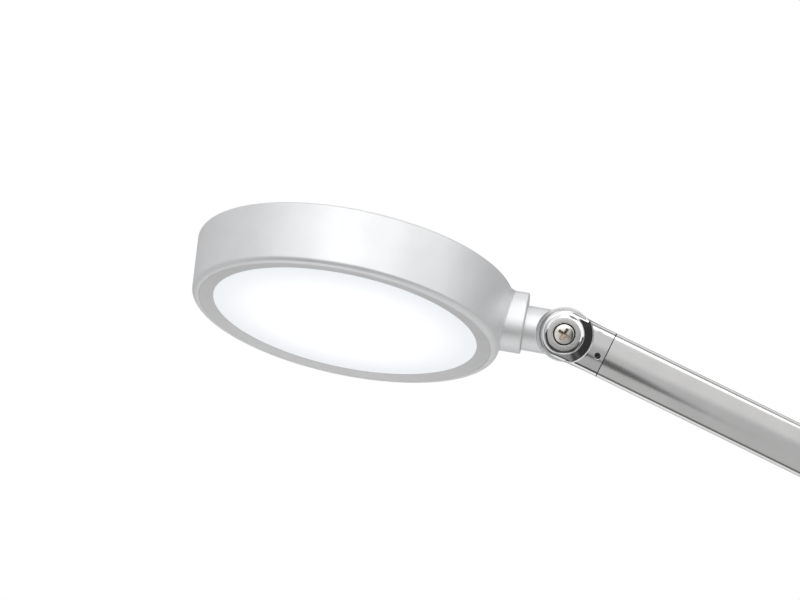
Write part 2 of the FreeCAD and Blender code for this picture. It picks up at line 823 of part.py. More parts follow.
def collar_prism():
    """The collar's section carried from inside the band to the collar's face."""
    start = band_front_radius - 2 * band_wall
    return moved(collar_section().extrude(V(head_reach - neck_length - start, 0, 0)), V(start, 0, 0))


def seat_side():
    """Room on the drum's side of the collar's seat, a plane that follows the flank at the neck."""
    reach = band_rear_radius
    room = block(V(-reach, -reach, -reach), V(0, reach, reach))
    return moved(turned(room, Y_AXIS, flank_slope), V(band_front_radius + collar_seat, 0, flank_low))


def collar_boss():
    """Boss on the band with the collar's section, from the flank to the flat seat."""
    boss = collar_prism().common(seat_side()).cut(drum_cavity())
    over_edge = tube_of(rear_seat_radius, band_rear_height, band_rear_radius, Z_AXIS)
    return boss.cut(over_edge)


def head_housing():
    """Band with an inner shelf, four cover posts, the collar's boss and the pad round the neck's stub."""
    drum = drum_solid()
    body = drum.cut(drum_cavity())
    shelf = ring_of(band_front_radius, shelf_inner_radius, shelf_height, shelf_height + shelf_thickness)
    notch = block(
        V(shelf_inner_radius / 2, -pad_radius - shelf_relief, shelf_height - overrun),
        V(band_rear_radius, pad_radius + shelf_relief, shelf_height + shelf_thickness + overrun),
    )
    body = body.fuse(shelf.cut(notch))
    for place in cover_post_places():
        foot = place + V(0, 0, shelf_height)
        body = body.fuse(Part.makeCylinder(cover_post_radius, rear_post_top - shelf_height, foot))
    pad = along_neck(tube_of(pad_radius, head_reach - band_rear_radius, pad_reach))
    body = body.fuse(pad.common(drum)).fuse(collar_boss())
    for place in cover_post_places():
        foot = place + V(0, 0, shelf_height + screw_tip_room)
        body = body.cut(Part.makeCylinder(small_screw_radius, rear_post_top, foot))
    for place in spreader_places():
        body = body.cut(Part.makeCylinder(small_screw_radius, 2 * shelf_thickness, place))
    body = body.cut(along_neck(tube_of(stub_radius + running_clearance, 0, head_reach / 2)))
    return body.removeSplitter()


def head_collar():
    """Cast collar between the neck and its seat on the band."""
    body = collar_prism().cut(seat_side())
    return body.cut(along_neck(tube_of(stub_radius + running_clearance, 0, head_reach)))


def head_bezel():
    """Front ring: slopes in from the band's edge and carries the diffuser on its inner lip."""
    outer = face_radius - bezel_lip
    seat = diffuser_radius + diffuser_overlap + cover_gap
    profile = [
        V(outer, 0, -face_drop),
        V(outer, 0, -face_drop + bezel_depth),
        V(seat, 0, -face_drop + bezel_depth),
        V(seat, 0, diffuser_step),
        V(diffuser_radius, 0, diffuser_step),
        V(diffuser_radius, 0, diffuser_front - cover_gap),
    ]
    return spun(profile, Z_AXIS)


def diffuser():
    """Opal disc, stepped so that its face fills the bezel's opening."""
    face = tube_of(diffuser_radius - cover_gap / 2, diffuser_front, diffuser_rear, Z_AXIS)
    rim = tube_of(diffuser_radius + diffuser_overlap, diffuser_step, diffuser_rear, Z_AXIS)
    return face.fuse(rim).removeSplitter()


def reflector():
    """White funnel from the LED board to the diffuser's edge."""
    outer = diffuser_radius + diffuser_overlap
    profile = [
        V(outer, 0, diffuser_rear),
        V(reflector_rear_radius + reflector_wall, 0, led_face),
        V(reflector_rear_radius, 0, led_face),
        V(outer - reflector_wall, 0, diffuser_rear),
    ]
    return spun(profile, Z_AXIS)


def led_board():
    """Aluminium-backed board on the heat spreader's front face."""
    return tube_of(led_board_radius, led_face, led_face + led_board_thickness, Z_AXIS)


def leds():
    """LED packages in rings on the board's front face."""
    chips = []
    half = led_size / 2
    for ring in range(led_ring_count):
        radius = led_board_radius - led_rim_inset - (led_ring_count - 1 - ring) * led_ring_pitch
        count = led_ring_step_count * (ring + 1)
        for k in range(count):
            chip = block(V(radius - half, -half, led_face - led_height), V(radius + half, half, led_face))
            chips.append(turned(chip, Z_AXIS, 360.0 * k / count))
    return Part.makeCompound(chips)


def heat_spreader():
    """Aluminium disc on the housing's shelf, notched for the driver's lead."""
    disc = tube_of(spreader_radius, shelf_height + shelf_thickness, spreader_rear, Z_AXIS)
    half = lead_radius + lead_clearance
    disc = disc.cut(block(V(driver_lead_rise - half, -half, 0), V(band_rear_radius, half, band_rear_height)))
    for place in spreader_places():
        disc = disc.cut(Part.makeCylinder(small_screw_radius + loose_clearance, band_rear_height, place))
    return disc


def spreader_screws():
    """Pan-head screws that hold the heat spreader to the shelf."""
    screws = []
    tip = shelf_height + loose_clearance
    for place in spreader_places():
        head = Part.makeCylinder(small_head_radius, small_head_height, place + V(0, 0, spreader_rear))
        shank = Part.makeCylinder(small_screw_radius, spreader_rear - tip, place + V(0, 0, tip))
        screws.append(head.fuse(shank).removeSplitter())
    return Part.makeCompound(screws)


def driver_board():
    """LED driver board on four standoffs, with its parts and the housing of the push switch."""
    base = spreader_rear + board_lift
    top = base + board_thickness
    body = block(V(-board_length / 2, -board_width / 2, base), V(board_length / 2, board_width / 2, top))
    for sx in (-1, 1):
        for sy in (-1, 1):
            place = V(
                sx * (board_length / 2 - standoff_radius),
                sy * (board_width / 2 - standoff_radius),
                spreader_rear,
            )
            body = body.fuse(Part.makeCylinder(standoff_radius, board_lift + board_thickness / 2, place))
    half = switch_side / 2
    inductor_top = top + driver_part_height
    body = body.fuse(block(V(-half, -half, base), V(half, half, top + switch_rise)))
    chip_low = V(board_length / 5, -board_width / 4, base)
    chip_high = V(board_length / 2.5, board_width / 4, inductor_top)
    body = body.fuse(block(chip_low, chip_high))
    inductor = tube_of(board_width / 7, base, inductor_top, Z_AXIS)
    body = body.fuse(moved(inductor, V(-board_length / 3, 0, 0)))
    bore = tube_of(button_stem_radius + switch_wall_gap, switch_floor, band_rear_height, Z_AXIS)
    return body.cut(bore).removeSplitter()


def rear_dome_height(radius):
    """Height of the rear cover's outer face at a distance from the drum's axis."""
    sphere = (rear_seat_radius**2 + rear_cover_dome**2) / (2 * rear_cover_dome)
    return band_rear_height + math.sqrt(sphere**2 - radius**2) - (sphere - rear_cover_dome)


def cover_screw_head(place):
    """Countersunk head of one rear cover screw, just under the dome."""
    face = rear_dome_height(cover_post_circle + small_head_radius) - loose_clearance
    seat = place + V(0, 0, face - small_head_height)
    return Part.makeCone(small_screw_radius, small_head_radius, small_head_height, seat, Z_AXIS)


def cover_screws():
    """Countersunk screws that hold the rear cover to the posts."""
    screws = []
    tip = shelf_height + shelf_thickness + screw_tip_room
    half = small_head_radius / 2
    for place in cover_post_places():
        head = cover_screw_head(place)
        face = head.BoundBox.ZMax
        shank = Part.makeCylinder(small_screw_radius, face - small_head_height - tip, place + V(0, 0, tip))
        screw = head.fuse(shank)
        slot = block(V(-half, -half / 4, face - small_head_height / 2), V(half, half / 4, face + overrun))
        for angle in (0, 90):
            screw = screw.cut(moved(turned(slot, Z_AXIS, angle), place))
        screws.append(screw)
    return Part.makeCompound(screws)


def rear_cover():
    """Shallow dome that closes the head's rear, with the button's hole and countersunk screw seats."""
    wall = rear_cover_thickness
    middle = rear_dome_height(rear_cover_radius / 2)
    crown = rear_dome_height(0)
    profile = [
        V(0, 0, crown),
        (V(rear_cover_radius / 2, 0, middle), V(rear_cover_radius, 0, rear_dome_height(rear_cover_radius))),
        V(rear_cover_radius, 0, rear_post_top),
        V(rear_cover_radius - 2 * wall, 0, rear_post_top),
        (V(rear_cover_radius / 2, 0, middle - wall), V(0, 0, crown - wall)),
    ]
    cover = spun(profile, Z_AXIS)
    cover = cover.cut(tube_of(button_radius + button_clearance, 0, 2 * crown, Z_AXIS))
    for place in cover_post_places():
        head = cover_screw_head(place)
        face = head.BoundBox.ZMax
        cover = cover.cut(Part.makeCylinder(small_screw_radius + loose_clearance, 2 * crown, place))
        cover = cover.cut(head)
        cover = cover.cut(Part.makeCylinder(small_head_radius, crown, place + V(0, 0, face)))
    return cover


def power_button():
    """Push button in the rear cover: cap, retaining flange under the cover, and stem into the switch."""
    rim_radius = button_radius + button_flange
    under_cover = rear_dome_height(rim_radius) - rear_cover_thickness - button_clearance
    cap_top = rear_dome_height(0) + button_proud
    cap = tube_of(button_radius, under_cover - button_flange_thickness, cap_top, Z_AXIS)
    rim = [edge for edge in cap.Edges if edge.BoundBox.ZMin > cap_top - 0.01]
    cap = cap.makeFillet(button_proud / 2, rim)
    flange = tube_of(rim_radius, under_cover - button_flange_thickness, under_cover, Z_AXIS)
    stem_foot = switch_floor + button_travel + switch_wall_gap
    stem = tube_of(button_stem_radius, stem_foot, under_cover, Z_AXIS)
    return cap.fuse(flange).fuse(stem).removeSplitter()


def pivot_washer(seat):
    """Wave washer on a stub along +X, against the face at x = seat."""
    end = seat + wave_washer_thickness
    return ring_of(wave_washer_radius, stub_radius + loose_clearance, seat, end, X_AXIS)


def pivot_nut(seat):
    """Hexagon nut on a stub along +X, against the wave washer."""
    start = seat + wave_washer_thickness
    nut = hexagon(pivot_nut_flats, start, start + pivot_nut_thickness, X_AXIS)
    return nut.cut(tube_of(stub_radius, start, start + pivot_nut_thickness))


def slip_washer(radius, end, thickness):
    """Thin disc on a stub along +X that ends at x = end."""
    return ring_of(radius, stub_radius + loose_clearance, end - thickness, end, X_AXIS)


# ------------------------------------------------------------------ base
def base_screw_places():
    """Axes of the screws that tie the cover to the weight."""
    return on_circle(base_screw_count, base_screw_circle, base_screw_start)


def base_cover():
    """Turned steel cover over the weight, with screw bosses, the stem's hole and the inlet's hole."""
    inner = cover_radius - cover_wall
    ceiling = base_top - cover_wall
    inner_round = cover_edge_radius - cover_wall
    round_a, round_b = arc_point(
        cover_radius - cover_edge_radius, base_top - cover_edge_radius, cover_edge_radius, 45
    )
    inner_a, inner_b = arc_point(inner - inner_round, ceiling - inner_round, inner_round, 45)
    profile = [
        V(cover_radius, 0, cover_lift),
        V(cover_radius, 0, base_top - cover_edge_radius),
        (V(round_a, 0, round_b), V(cover_radius - cover_edge_radius, 0, base_top)),
        V(0, 0, base_top),
        V(0, 0, ceiling),
        V(inner - inner_round, 0, ceiling),
        (V(inner_a, 0, inner_b), V(inner, 0, ceiling - inner_round)),
        V(inner, 0, cover_lift),
    ]
    cover = spun(profile, Z_AXIS)
    for place in base_screw_places():
        foot = place + V(0, 0, ceiling - base_boss_drop)
        cover = cover.fuse(Part.makeCylinder(base_boss_radius, base_boss_drop, foot))
    for place in base_screw_places():
        foot = place + V(0, 0, ceiling - base_boss_drop)
        cover = cover.cut(Part.makeCylinder(base_screw_radius, base_screw_depth, foot))
    cover = cover.cut(tube_of(stub_radius + inlet_clearance, 0, 2 * base_top, Z_AXIS))
    nose_radius = inlet_nose_radius + inlet_clearance
    nose = Part.makeCylinder(nose_radius, cover_radius, V(0, inlet_rear, inlet_lift), Y_AXIS)
    return cover.cut(nose).removeSplitter()


def base_weight():
    """Cast iron disc with the swivel's pocket, screw passages, the inlet's room and the lead's groove."""
    disc = tube_of(weight_radius, foot_thickness, weight_top, Z_AXIS)
    rims = [edge for edge in disc.Edges if edge.BoundBox.XLength > weight_radius]
    disc = disc.makeChamfer(weight_edge_chamfer, rims)
    disc = disc.cut(tube_of(stub_radius + running_clearance, 0, base_top, Z_AXIS))
    disc = disc.cut(tube_of(pocket_radius, 0, weight_top - pocket_web, Z_AXIS))
    boss_floor = base_top - cover_wall - base_boss_drop
    head_seat = foot_thickness + base_screw_head_height + lead_clearance
    for place in base_screw_places():
        room = Part.makeCylinder(base_boss_radius + lead_clearance, base_top, place + V(0, 0, boss_floor))
        disc = disc.cut(room)
        disc = disc.cut(Part.makeCylinder(base_screw_radius + lead_clearance, base_top, place))
        disc = disc.cut(Part.makeCylinder(base_screw_head_radius + lead_clearance, head_seat, place))
    half = inlet_width / 2 + inlet_clearance
    room = block(
        V(-half, inlet_rear - inlet_clearance, 0),
        V(half, cover_radius, inlet_lift + inlet_height / 2 + inlet_clearance),
    )
    disc = disc.cut(room)
    half = lead_radius + lead_clearance
    run = Part.makeCylinder(half, inlet_front, V(0, 0, base_lead_level), Y_AXIS)
    disc = disc.cut(run)
    disc = disc.cut(block(V(-half, 0, 0), V(half, inlet_front, base_lead_level)))
    return disc.removeSplitter()


def base_foot():
    """Rubber disc under the weight."""
    return tube_of(foot_radius, 0, foot_thickness, Z_AXIS)


def base_screws():
    """Screws that tie the cover to the weight from below."""
    screws = []
    seat = foot_thickness + base_screw_head_height + lead_clearance
    tip = base_top - cover_wall - base_boss_drop + base_screw_depth
    for place in base_screw_places():
        head_foot = place + V(0, 0, seat - base_screw_head_height)
        head = Part.makeCylinder(base_screw_head_radius, base_screw_head_height, head_foot)
        shank = Part.makeCylinder(base_screw_radius, tip - seat, place + V(0, 0, seat))
        screws.append(head.fuse(shank).removeSplitter())
    return Part.makeCompound(screws)


def power_inlet():
    """Low-voltage inlet at the back of the base: housing, round nose and centre pin."""
    low = inlet_lift - inlet_height / 2
    high = inlet_lift + inlet_height / 2
    body = block(V(-inlet_width / 2, inlet_rear, low), V(inlet_width / 2, inlet_front, high))
    nose_end = cover_radius - cover_gap
    mouth = V(0, nose_end, inlet_lift)
    back = V(0, -1, 0)
    body = body.fuse(Part.makeCylinder(inlet_nose_radius, cover_wall + overrun, mouth, back))
    body = body.cut(Part.makeCylinder(inlet_bore_radius, inlet_bore_depth, mouth, back))
    pin_end = V(0, nose_end - inlet_pin_sink, inlet_lift)
    pin = Part.makeCylinder(inlet_pin_radius, inlet_bore_depth, pin_end, back)
    return body.fuse(pin).removeSplitter()


def base_stem():
    """Satin stem along +X from the shoulder: tongue, round stem, flange and hollow threaded stub."""
    flange = tube_of(flange_radius, stem_reach - flange_thickness, stem_reach)
    rim = [edge for edge in flange.Edges if edge.BoundBox.XMax < stem_reach - flange_thickness + 0.01]
    flange = flange.makeFillet(flange_rounding, rim)
    stem = neck_body(stem_reach, stem_stub_end)
    flange = flange.cut(tube_of(neck_radius / 2, 0, stem_stub_end))
    return stem.fuse(flange).removeSplitter()


# ------------------------------------------------------------------ frames of the rest pose
def in_base(shape):
    """Base frame, which is the lamp's own frame."""
    return shape


def in_stem(shape):
    """Frame of the stem: origin at the shoulder, +X down."""
    return moved(turned(shape, Y_AXIS, 90), shoulder)


def in_lower_arm(shape):
    """Frame of the lower arm: origin at the elbow, +X towards the shoulder."""
    return moved(turned(shape, Y_AXIS, 180.0 - lower_arm_lift), elbow)


def in_upper_arm(shape):
    """Frame of the upper arm: origin at the neck hinge, +X towards the elbow."""
    return moved(turned(shape, Y_AXIS, upper_arm_tilt), wrist)


def in_neck(shape):
    """Frame of the neck: origin at the neck hinge, +X towards the head."""
    return moved(turned(turned(shape, Z_AXIS, 180), Y_AXIS, neck_tilt), wrist)


def in_head(shape):
    """Drum frame: origin at the drum's centre, +X towards the neck hinge, +Z to the rear cover."""
    level = moved(turned(shape, X_AXIS, -head_turn_angle), V(-head_reach, 0, 0))
    return moved(turned(level, Y_AXIS, neck_tilt), wrist)


def hinge_set(name, place):
    """The four pieces that close one knuckle hinge."""
    return {
        name + "_screw": (place, hinge_screw()),
        name + "_nut": (place, hinge_nut()),
        name + "_spring_washer": (place, hinge_spring_washer()),
        name + "_friction_washers": (place, friction_washers()),
    }


def in_shoulder(shape):
    """Frame of the lower arm's foot knuckle: origin at the shoulder, +X towards the elbow."""
    return in_lower_arm(far_end(shape, lower_arm_length))


def in_elbow_tongue(shape):
    """Frame of the upper arm's tongue: origin at the elbow, +X towards the neck hinge."""
    return in_upper_arm(far_end(shape, upper_arm_length))


short_knuckle = clevis(slot_radius, knuckle_length)
lower_seams = (elbow_knuckle_length, knuckle_length, lower_arm_length)
upper_seams = (knuckle_length, elbow_knuckle_length, upper_arm_length)
lower_tube = arm_tube(elbow_knuckle_length, lower_arm_length - knuckle_length)
upper_tube = arm_tube(knuckle_length, upper_arm_length - elbow_knuckle_length)
neck_shoulder = neck_length - slip_washer_thickness
stem_lead = swept(lead_path(stem_stub_end, lead_wrap), lead_radius)
neck_lead = swept(lead_path(stub_end, lead_wrap), lead_radius)

nodes = {
    "base_cover": (in_base, base_cover()),
    "base_weight": (in_base, base_weight()),
    "base_foot": (in_base, base_foot()),
    "base_screws": (in_base, base_screws()),
    "power_inlet": (in_base, power_inlet()),
    "base_lead": (in_base, base_lead()),
    "base_stem": (in_stem, base_stem()),
    "swivel_washer": (in_stem, slip_washer(swivel_washer_radius, stem_height, swivel_washer_thickness)),
    "swivel_wave_washer": (in_stem, pivot_washer(stem_seat)),
    "swivel_nut": (in_stem, pivot_nut(stem_seat)),
    "stem_lead": (in_stem, stem_lead),
    "lower_arm_tube": (in_lower_arm, lower_tube),
    "shoulder_knuckle": (in_shoulder, short_knuckle),
    "elbow_fork": (in_lower_arm, clevis(elbow_slot_radius, elbow_knuckle_length)),
    "lower_arm_inserts": (in_lower_arm, both_ends(end_insert, *lower_seams)),
    "lower_arm_set_screws": (in_lower_arm, both_ends(set_screw, *lower_seams)),
    "lower_arm_lead": (in_lower_arm, lower_arm_lead()),
    "upper_arm_tube": (in_upper_arm, upper_tube),
    "elbow_tongue": (in_elbow_tongue, tongue_knuckle()),
    "head_knuckle": (in_upper_arm, short_knuckle),
    "upper_arm_inserts": (in_upper_arm, both_ends(end_insert, *upper_seams)),
    "upper_arm_set_screws": (in_upper_arm, both_ends(set_screw, *upper_seams)),
    "upper_arm_lead": (in_upper_arm, upper_arm_lead()),
    "head_neck": (in_neck, neck_body(neck_shoulder, stub_end)),
    "neck_slip_washer": (in_neck, slip_washer(slip_washer_radius, neck_length, slip_washer_thickness)),
    "pivot_wave_washer": (in_neck, pivot_washer(pad_reach)),
    "pivot_nut": (in_neck, pivot_nut(pad_reach)),
    "neck_lead": (in_neck, neck_lead),
    "head_collar": (in_head, head_collar()),
    "head_housing": (in_head, head_housing()),
    "head_bezel": (in_head, head_bezel()),
    "diffuser": (in_head, diffuser()),
    "reflector": (in_head, reflector()),
    "led_board": (in_head, led_board()),
    "leds": (in_head, leds()),
    "heat_spreader": (in_head, heat_spreader()),
    "spreader_screws": (in_head, spreader_screws()),
    "driver_board": (in_head, driver_board()),
    "driver_lead": (in_head, driver_lead()),
    "rear_cover": (in_head, rear_cover()),
    "cover_screws": (in_head, cover_screws()),
    "power_button": (in_head, power_button()),
}
nodes.update(hinge_set("shoulder", in_shoulder))
nodes.update(hinge_set("elbow", in_lower_arm))
nodes.update(hinge_set("wrist", in_upper_arm))

os.makedirs("parts", exist_ok=True)
for name, (place, shape) in nodes.items():
    place(shape).exportStep("parts/" + name + ".step")
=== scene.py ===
"""Architect desk lamp, dressed: satin arms, chrome knuckles, a round LED head and a weighted base.

Sizes are millimetres in each piece's own frame.  They become metres in the lamp's frame when a mesh is made.
Every shape is a grid of points worked out with numpy: a profile turned about an axis, a section carried along
a line, or a height over the plane of a hinge.
"""

import json
import logging
import math
from collections.abc import Callable
from dataclasses import dataclass, field
from enum import Enum

import bmesh
import bpy
import numpy as np
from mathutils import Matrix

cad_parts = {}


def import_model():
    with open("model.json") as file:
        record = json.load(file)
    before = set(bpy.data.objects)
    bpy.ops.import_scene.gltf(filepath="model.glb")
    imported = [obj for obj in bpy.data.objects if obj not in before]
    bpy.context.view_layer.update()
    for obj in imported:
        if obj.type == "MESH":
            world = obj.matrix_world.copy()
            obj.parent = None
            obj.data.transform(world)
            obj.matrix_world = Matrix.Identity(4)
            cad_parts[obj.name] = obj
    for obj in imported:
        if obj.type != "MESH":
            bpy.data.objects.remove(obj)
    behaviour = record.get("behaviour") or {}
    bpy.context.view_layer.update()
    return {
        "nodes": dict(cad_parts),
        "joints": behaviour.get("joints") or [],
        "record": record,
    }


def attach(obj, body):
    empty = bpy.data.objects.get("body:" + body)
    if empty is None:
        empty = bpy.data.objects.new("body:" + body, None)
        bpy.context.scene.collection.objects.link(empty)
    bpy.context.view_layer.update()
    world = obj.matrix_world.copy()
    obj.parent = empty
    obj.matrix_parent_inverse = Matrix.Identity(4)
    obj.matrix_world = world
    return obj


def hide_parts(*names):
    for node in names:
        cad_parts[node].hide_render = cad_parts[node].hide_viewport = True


LOG = logging.getLogger("desk_lamp")
MM = 0.001
WELD = 2e-6            # points closer than this, in metres, are one
SHORTEST_EDGE = 1e-7   # edges shorter than this, in metres, are dropped
CREASE = 28.0          # degrees past which an edge of a soft form stays crisp
CHROME_CREASE = 36.0   # the same for forks, tongues and necks, whose small bends stay smooth
NUT_CREASE, SCREW_CREASE = 20.0, 25.0   # the same for nuts and for set screws
SMALL, COARSE, MEDIUM, FINE, FINEST = 48, 64, 96, 288, 360   # facets of a full turn
HAIR = 0.02            # millimetres by which hidden edges pass each other
HOLD = 0.12            # millimetres from a side's ends to its holding points
ARM_LENGTH = 380.0     # hinge to hinge, in millimetres
SHORT_SEAM = 23.2      # hinge to the arm's seam, at the wrist and the shoulder
LONG_SEAM = 36.0       # the same at the elbow, on both arms
SLOT_HALF = 4.35       # middle plane to the wall of a fork's slot
HEAD_REACH = 109.4     # neck hinge to the drum's axis
Array = np.ndarray
Piece = bpy.types.Object


# ---- frames
@dataclass(frozen=True)
class Frame:
    """A piece's own frame: origin in millimetres and three unit axes, in the lamp's frame."""

    origin: Array
    x_axis: Array
    y_axis: Array

    @property
    def matrix(self) -> Array:
        """Rows are the x, y and z axes."""
        return np.array([self.x_axis, self.y_axis, np.cross(self.x_axis, self.y_axis)])

    def to_lamp(self, points: Array) -> Array:
        """Points of this frame in millimetres, as points of the lamp's frame in metres."""
        return (points @ self.matrix + self.origin) * MM

    def far_end(self, length: float) -> "Frame":
        """The frame at the other end of an arm: x turned back, y kept."""
        return Frame(self.origin + self.x_axis * length, -self.x_axis, self.y_axis)


@dataclass(frozen=True)
class LampFrames:
    """The frames of the rest pose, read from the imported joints."""

    stem: Frame
    lower_arm: Frame
    upper_arm: Frame
    neck: Frame
    drum: Frame
    base: Frame

    @classmethod
    def from_joints(cls, joints: list[dict]) -> "LampFrames":
        """Works the frames out of the joints' places and axes.

        Args:
            joints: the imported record's joints.

        Returns:
            The frames of all sub-assemblies.
        """
        by_name = {joint["name"]: joint for joint in joints}
        hinges = ("shoulder_tilt", "elbow_bend", "neck_tilt")
        shoulder, elbow, wrist = (np.array(by_name[name]["pos_m"], dtype=float) / MM for name in hinges)
        front = np.array([0.0, 1.0, 0.0])
        towards_head = unit(np.array(by_name["head_turn"]["axis"], dtype=float))
        rearward = -unit(np.array(by_name["button_press"]["axis"], dtype=float))
        return cls(
            stem=Frame(shoulder, np.array([0.0, 0.0, -1.0]), front),
            lower_arm=Frame(elbow, unit(shoulder - elbow), front),
            upper_arm=Frame(wrist, unit(elbow - wrist), front),
            neck=Frame(wrist, towards_head, -front),
            drum=Frame(wrist + towards_head * HEAD_REACH, -towards_head, np.cross(rearward, -towards_head)),
            base=Frame(np.zeros(3), np.array([1.0, 0.0, 0.0]), front),
        )


def unit(vector: Array) -> Array:
    """The vector at length one."""
    return vector / np.linalg.norm(vector)


# ---- outlines
def rounded_outline(corners: Array, radii: Array, closed: bool = True, steps: int = 8) -> Array:
    """A polygon with its corners rounded.

    Each corner of radius r is cut back by r·tan(turn/2) along both sides, and an arc bridges it.
    Every side keeps a holding point close to each of its ends, so that flat faces shade flat.

    Args:
        corners: (n, 2) corner points.
        radii: (n,) corner radii, 0 for a sharp corner.
        closed: whether the last corner joins the first.
        steps: points of each arc, less one.

    Returns:
        (m, 2) points along the outline.
    """
    count = len(corners)
    pieces: list[Array] = []
    for k in range(count):
        corner = corners[k]
        before, after = corners[k - 1], corners[(k + 1) % count]
        radius = radii[k]
        if radius <= 0 or (not closed and k in (0, count - 1)):
            pieces.append(corner[None, :])
            continue
        to_before, to_after = unit(before - corner), unit(after - corner)
        turn = math.pi - math.acos(float(np.clip(to_before @ to_after, -1, 1)))
        cut = radius * math.tan(turn / 2)
        middle = corner + unit(to_before + to_after) * radius / math.cos(turn / 2)
        start, end = corner + to_before * cut - middle, corner + to_after * cut - middle
        share = np.linspace(0, 1, steps + 1)[:, None]
        arc = (np.sin((1 - share) * turn) * start + np.sin(share * turn) * end) / math.sin(turn)
        pieces.append(arc + middle)
    held: list[Array] = []
    for k in range(count):
        held.append(pieces[k])
        if not closed and k == count - 1:
            break
        a, b = pieces[k][-1], pieces[(k + 1) % count][0]
        length = float(np.linalg.norm(b - a))
        if length > 4 * HOLD:
            step = (b - a) / length * HOLD
            held.append(np.array([a + step, b - step]))
    return np.concatenate(held)


def arc_points(centre: tuple[float, float], radius: float, start: float, end: float, steps: int) -> Array:
    """Points of a circular arc, angles in degrees: centre + radius·(cos, sin)."""
    angle = np.radians(np.linspace(start, end, steps + 1))
    return np.column_stack([centre[0] + radius * np.cos(angle), centre[1] + radius * np.sin(angle)])


def hexagon_radius(angle: Array, flats: float) -> Array:
    """Centre to a hexagon's side: half its width over flats / cos(angle from the nearest flat)."""
    return flats / 2 / np.cos(np.mod(angle + math.pi / 6, math.pi / 3) - math.pi / 6)


def full_turn(count: int) -> Array:
    """Angles of a full turn in equal steps from 0."""
    return np.linspace(0, 2 * math.pi, count, endpoint=False)


def both_sides(half: Array) -> Array:
    """Angles from 0 to a half turn, and their mirror images."""
    return np.concatenate([half, -half[1:-1][::-1]])


# ---- shells
class Turn(Enum):
    """Axis that a profile of (radius, height) pairs is turned about."""

    ABOUT_X = "x"
    ABOUT_Y = "y"
    ABOUT_Z = "z"


@dataclass(frozen=True)
class Patch:
    """A grid of points with its rows and columns open or closed."""

    points: Array
    closed_rows: bool = False
    closed_columns: bool = False

    def quads(self, first: int) -> Array:
        """Corner numbers of the grid's quads.

        Args:
            first: number of the grid's first point in the mesh.

        Returns:
            (n, 4) point numbers.
        """
        rows, columns = self.points.shape[:2]
        number = np.arange(rows * columns).reshape(rows, columns) + first
        if self.closed_rows:
            number = np.vstack([number, number[:1]])
        if self.closed_columns:
            number = np.hstack([number, number[:, :1]])
        corners = (number[:-1, :-1], number[1:, :-1], number[1:, 1:], number[:-1, 1:])
        return np.stack([corner.ravel() for corner in corners], axis=1)


def turned_profile(profile: Array, segments: int, about: Turn = Turn.ABOUT_Z, closed: bool = True) -> Patch:
    """A profile turned once round an axis: (r·cos a, r·sin a, h) in the axis' own order.

    Args:
        profile: (n, 2) pairs of radius and height.
        segments: facets of the turn.
        about: the axis.
        closed: whether the profile's end joins its start.

    Returns:
        The skin.
    """
    angle = full_turn(segments)[:, None]
    radius, height = profile.T
    across, upward = radius * np.cos(angle), radius * np.sin(angle)
    along = np.broadcast_to(height, across.shape)
    order = {
        Turn.ABOUT_Z: (across, upward, along),
        Turn.ABOUT_X: (along, across, upward),
        Turn.ABOUT_Y: (across, along, -upward),
    }[about]
    return Patch(np.stack(order, axis=2), closed_rows=True, closed_columns=closed)


def carried_section(section: Array, stations: Array, insets: Array) -> Patch:
    """A closed section of (y, z) carried along x, drawn in towards its centre by an inset at each station.

    The ends are closed by shrinking the section to its centre.

    Args:
        section: (n, 2) loop.
        stations: (m,) distances along x.
        insets: (m,) how far the loop is drawn in at each.

    Returns:
        The skin.
    """
    reach = np.linalg.norm(section, axis=1)
    shrink = 1 - insets[:, None] / reach
    along = np.broadcast_to(stations[:, None], shrink.shape)
    loops = np.stack([along, section[:, 0] * shrink, section[:, 1] * shrink], axis=2)
    first, last = loops[:1] * [1, 0, 0], loops[-1:] * [1, 0, 0]
    return Patch(np.concatenate([first, loops, last]), closed_columns=True)


def on_rays(radius: Array, level: Array, angle: Array, rows: bool, columns: bool = False) -> Patch:
    """Samples on rays about a hinge: (r·cos a, level, r·sin a).

    Args:
        radius: (rays, samples) distances from the hinge.
        level: (rays, samples) heights along its axis.
        angle: (rays,) angles.
        rows: whether the last ray joins the first.
        columns: whether each ray's last sample joins its first.

    Returns:
        The skin.
    """
    a = angle[:, None]
    points = np.stack([radius * np.cos(a), level + 0 * radius, radius * np.sin(a)], axis=2)
    return Patch(points, rows, columns)


def ring_grid(angle: Array, rings: list[tuple]) -> Array:
    """Radii and levels (2, rays, rings) of rings that are given as numbers or as one number for each ray."""
    return np.array([np.stack([value + 0 * angle for value in values], axis=1) for values in zip(*rings)])


def rings_on(angle: Array, rings: list[tuple], columns: bool = False) -> Patch:
    """Rings of (radius, level) about a hinge, joined in their order."""
    return on_rays(*ring_grid(angle, rings), angle, True, columns)


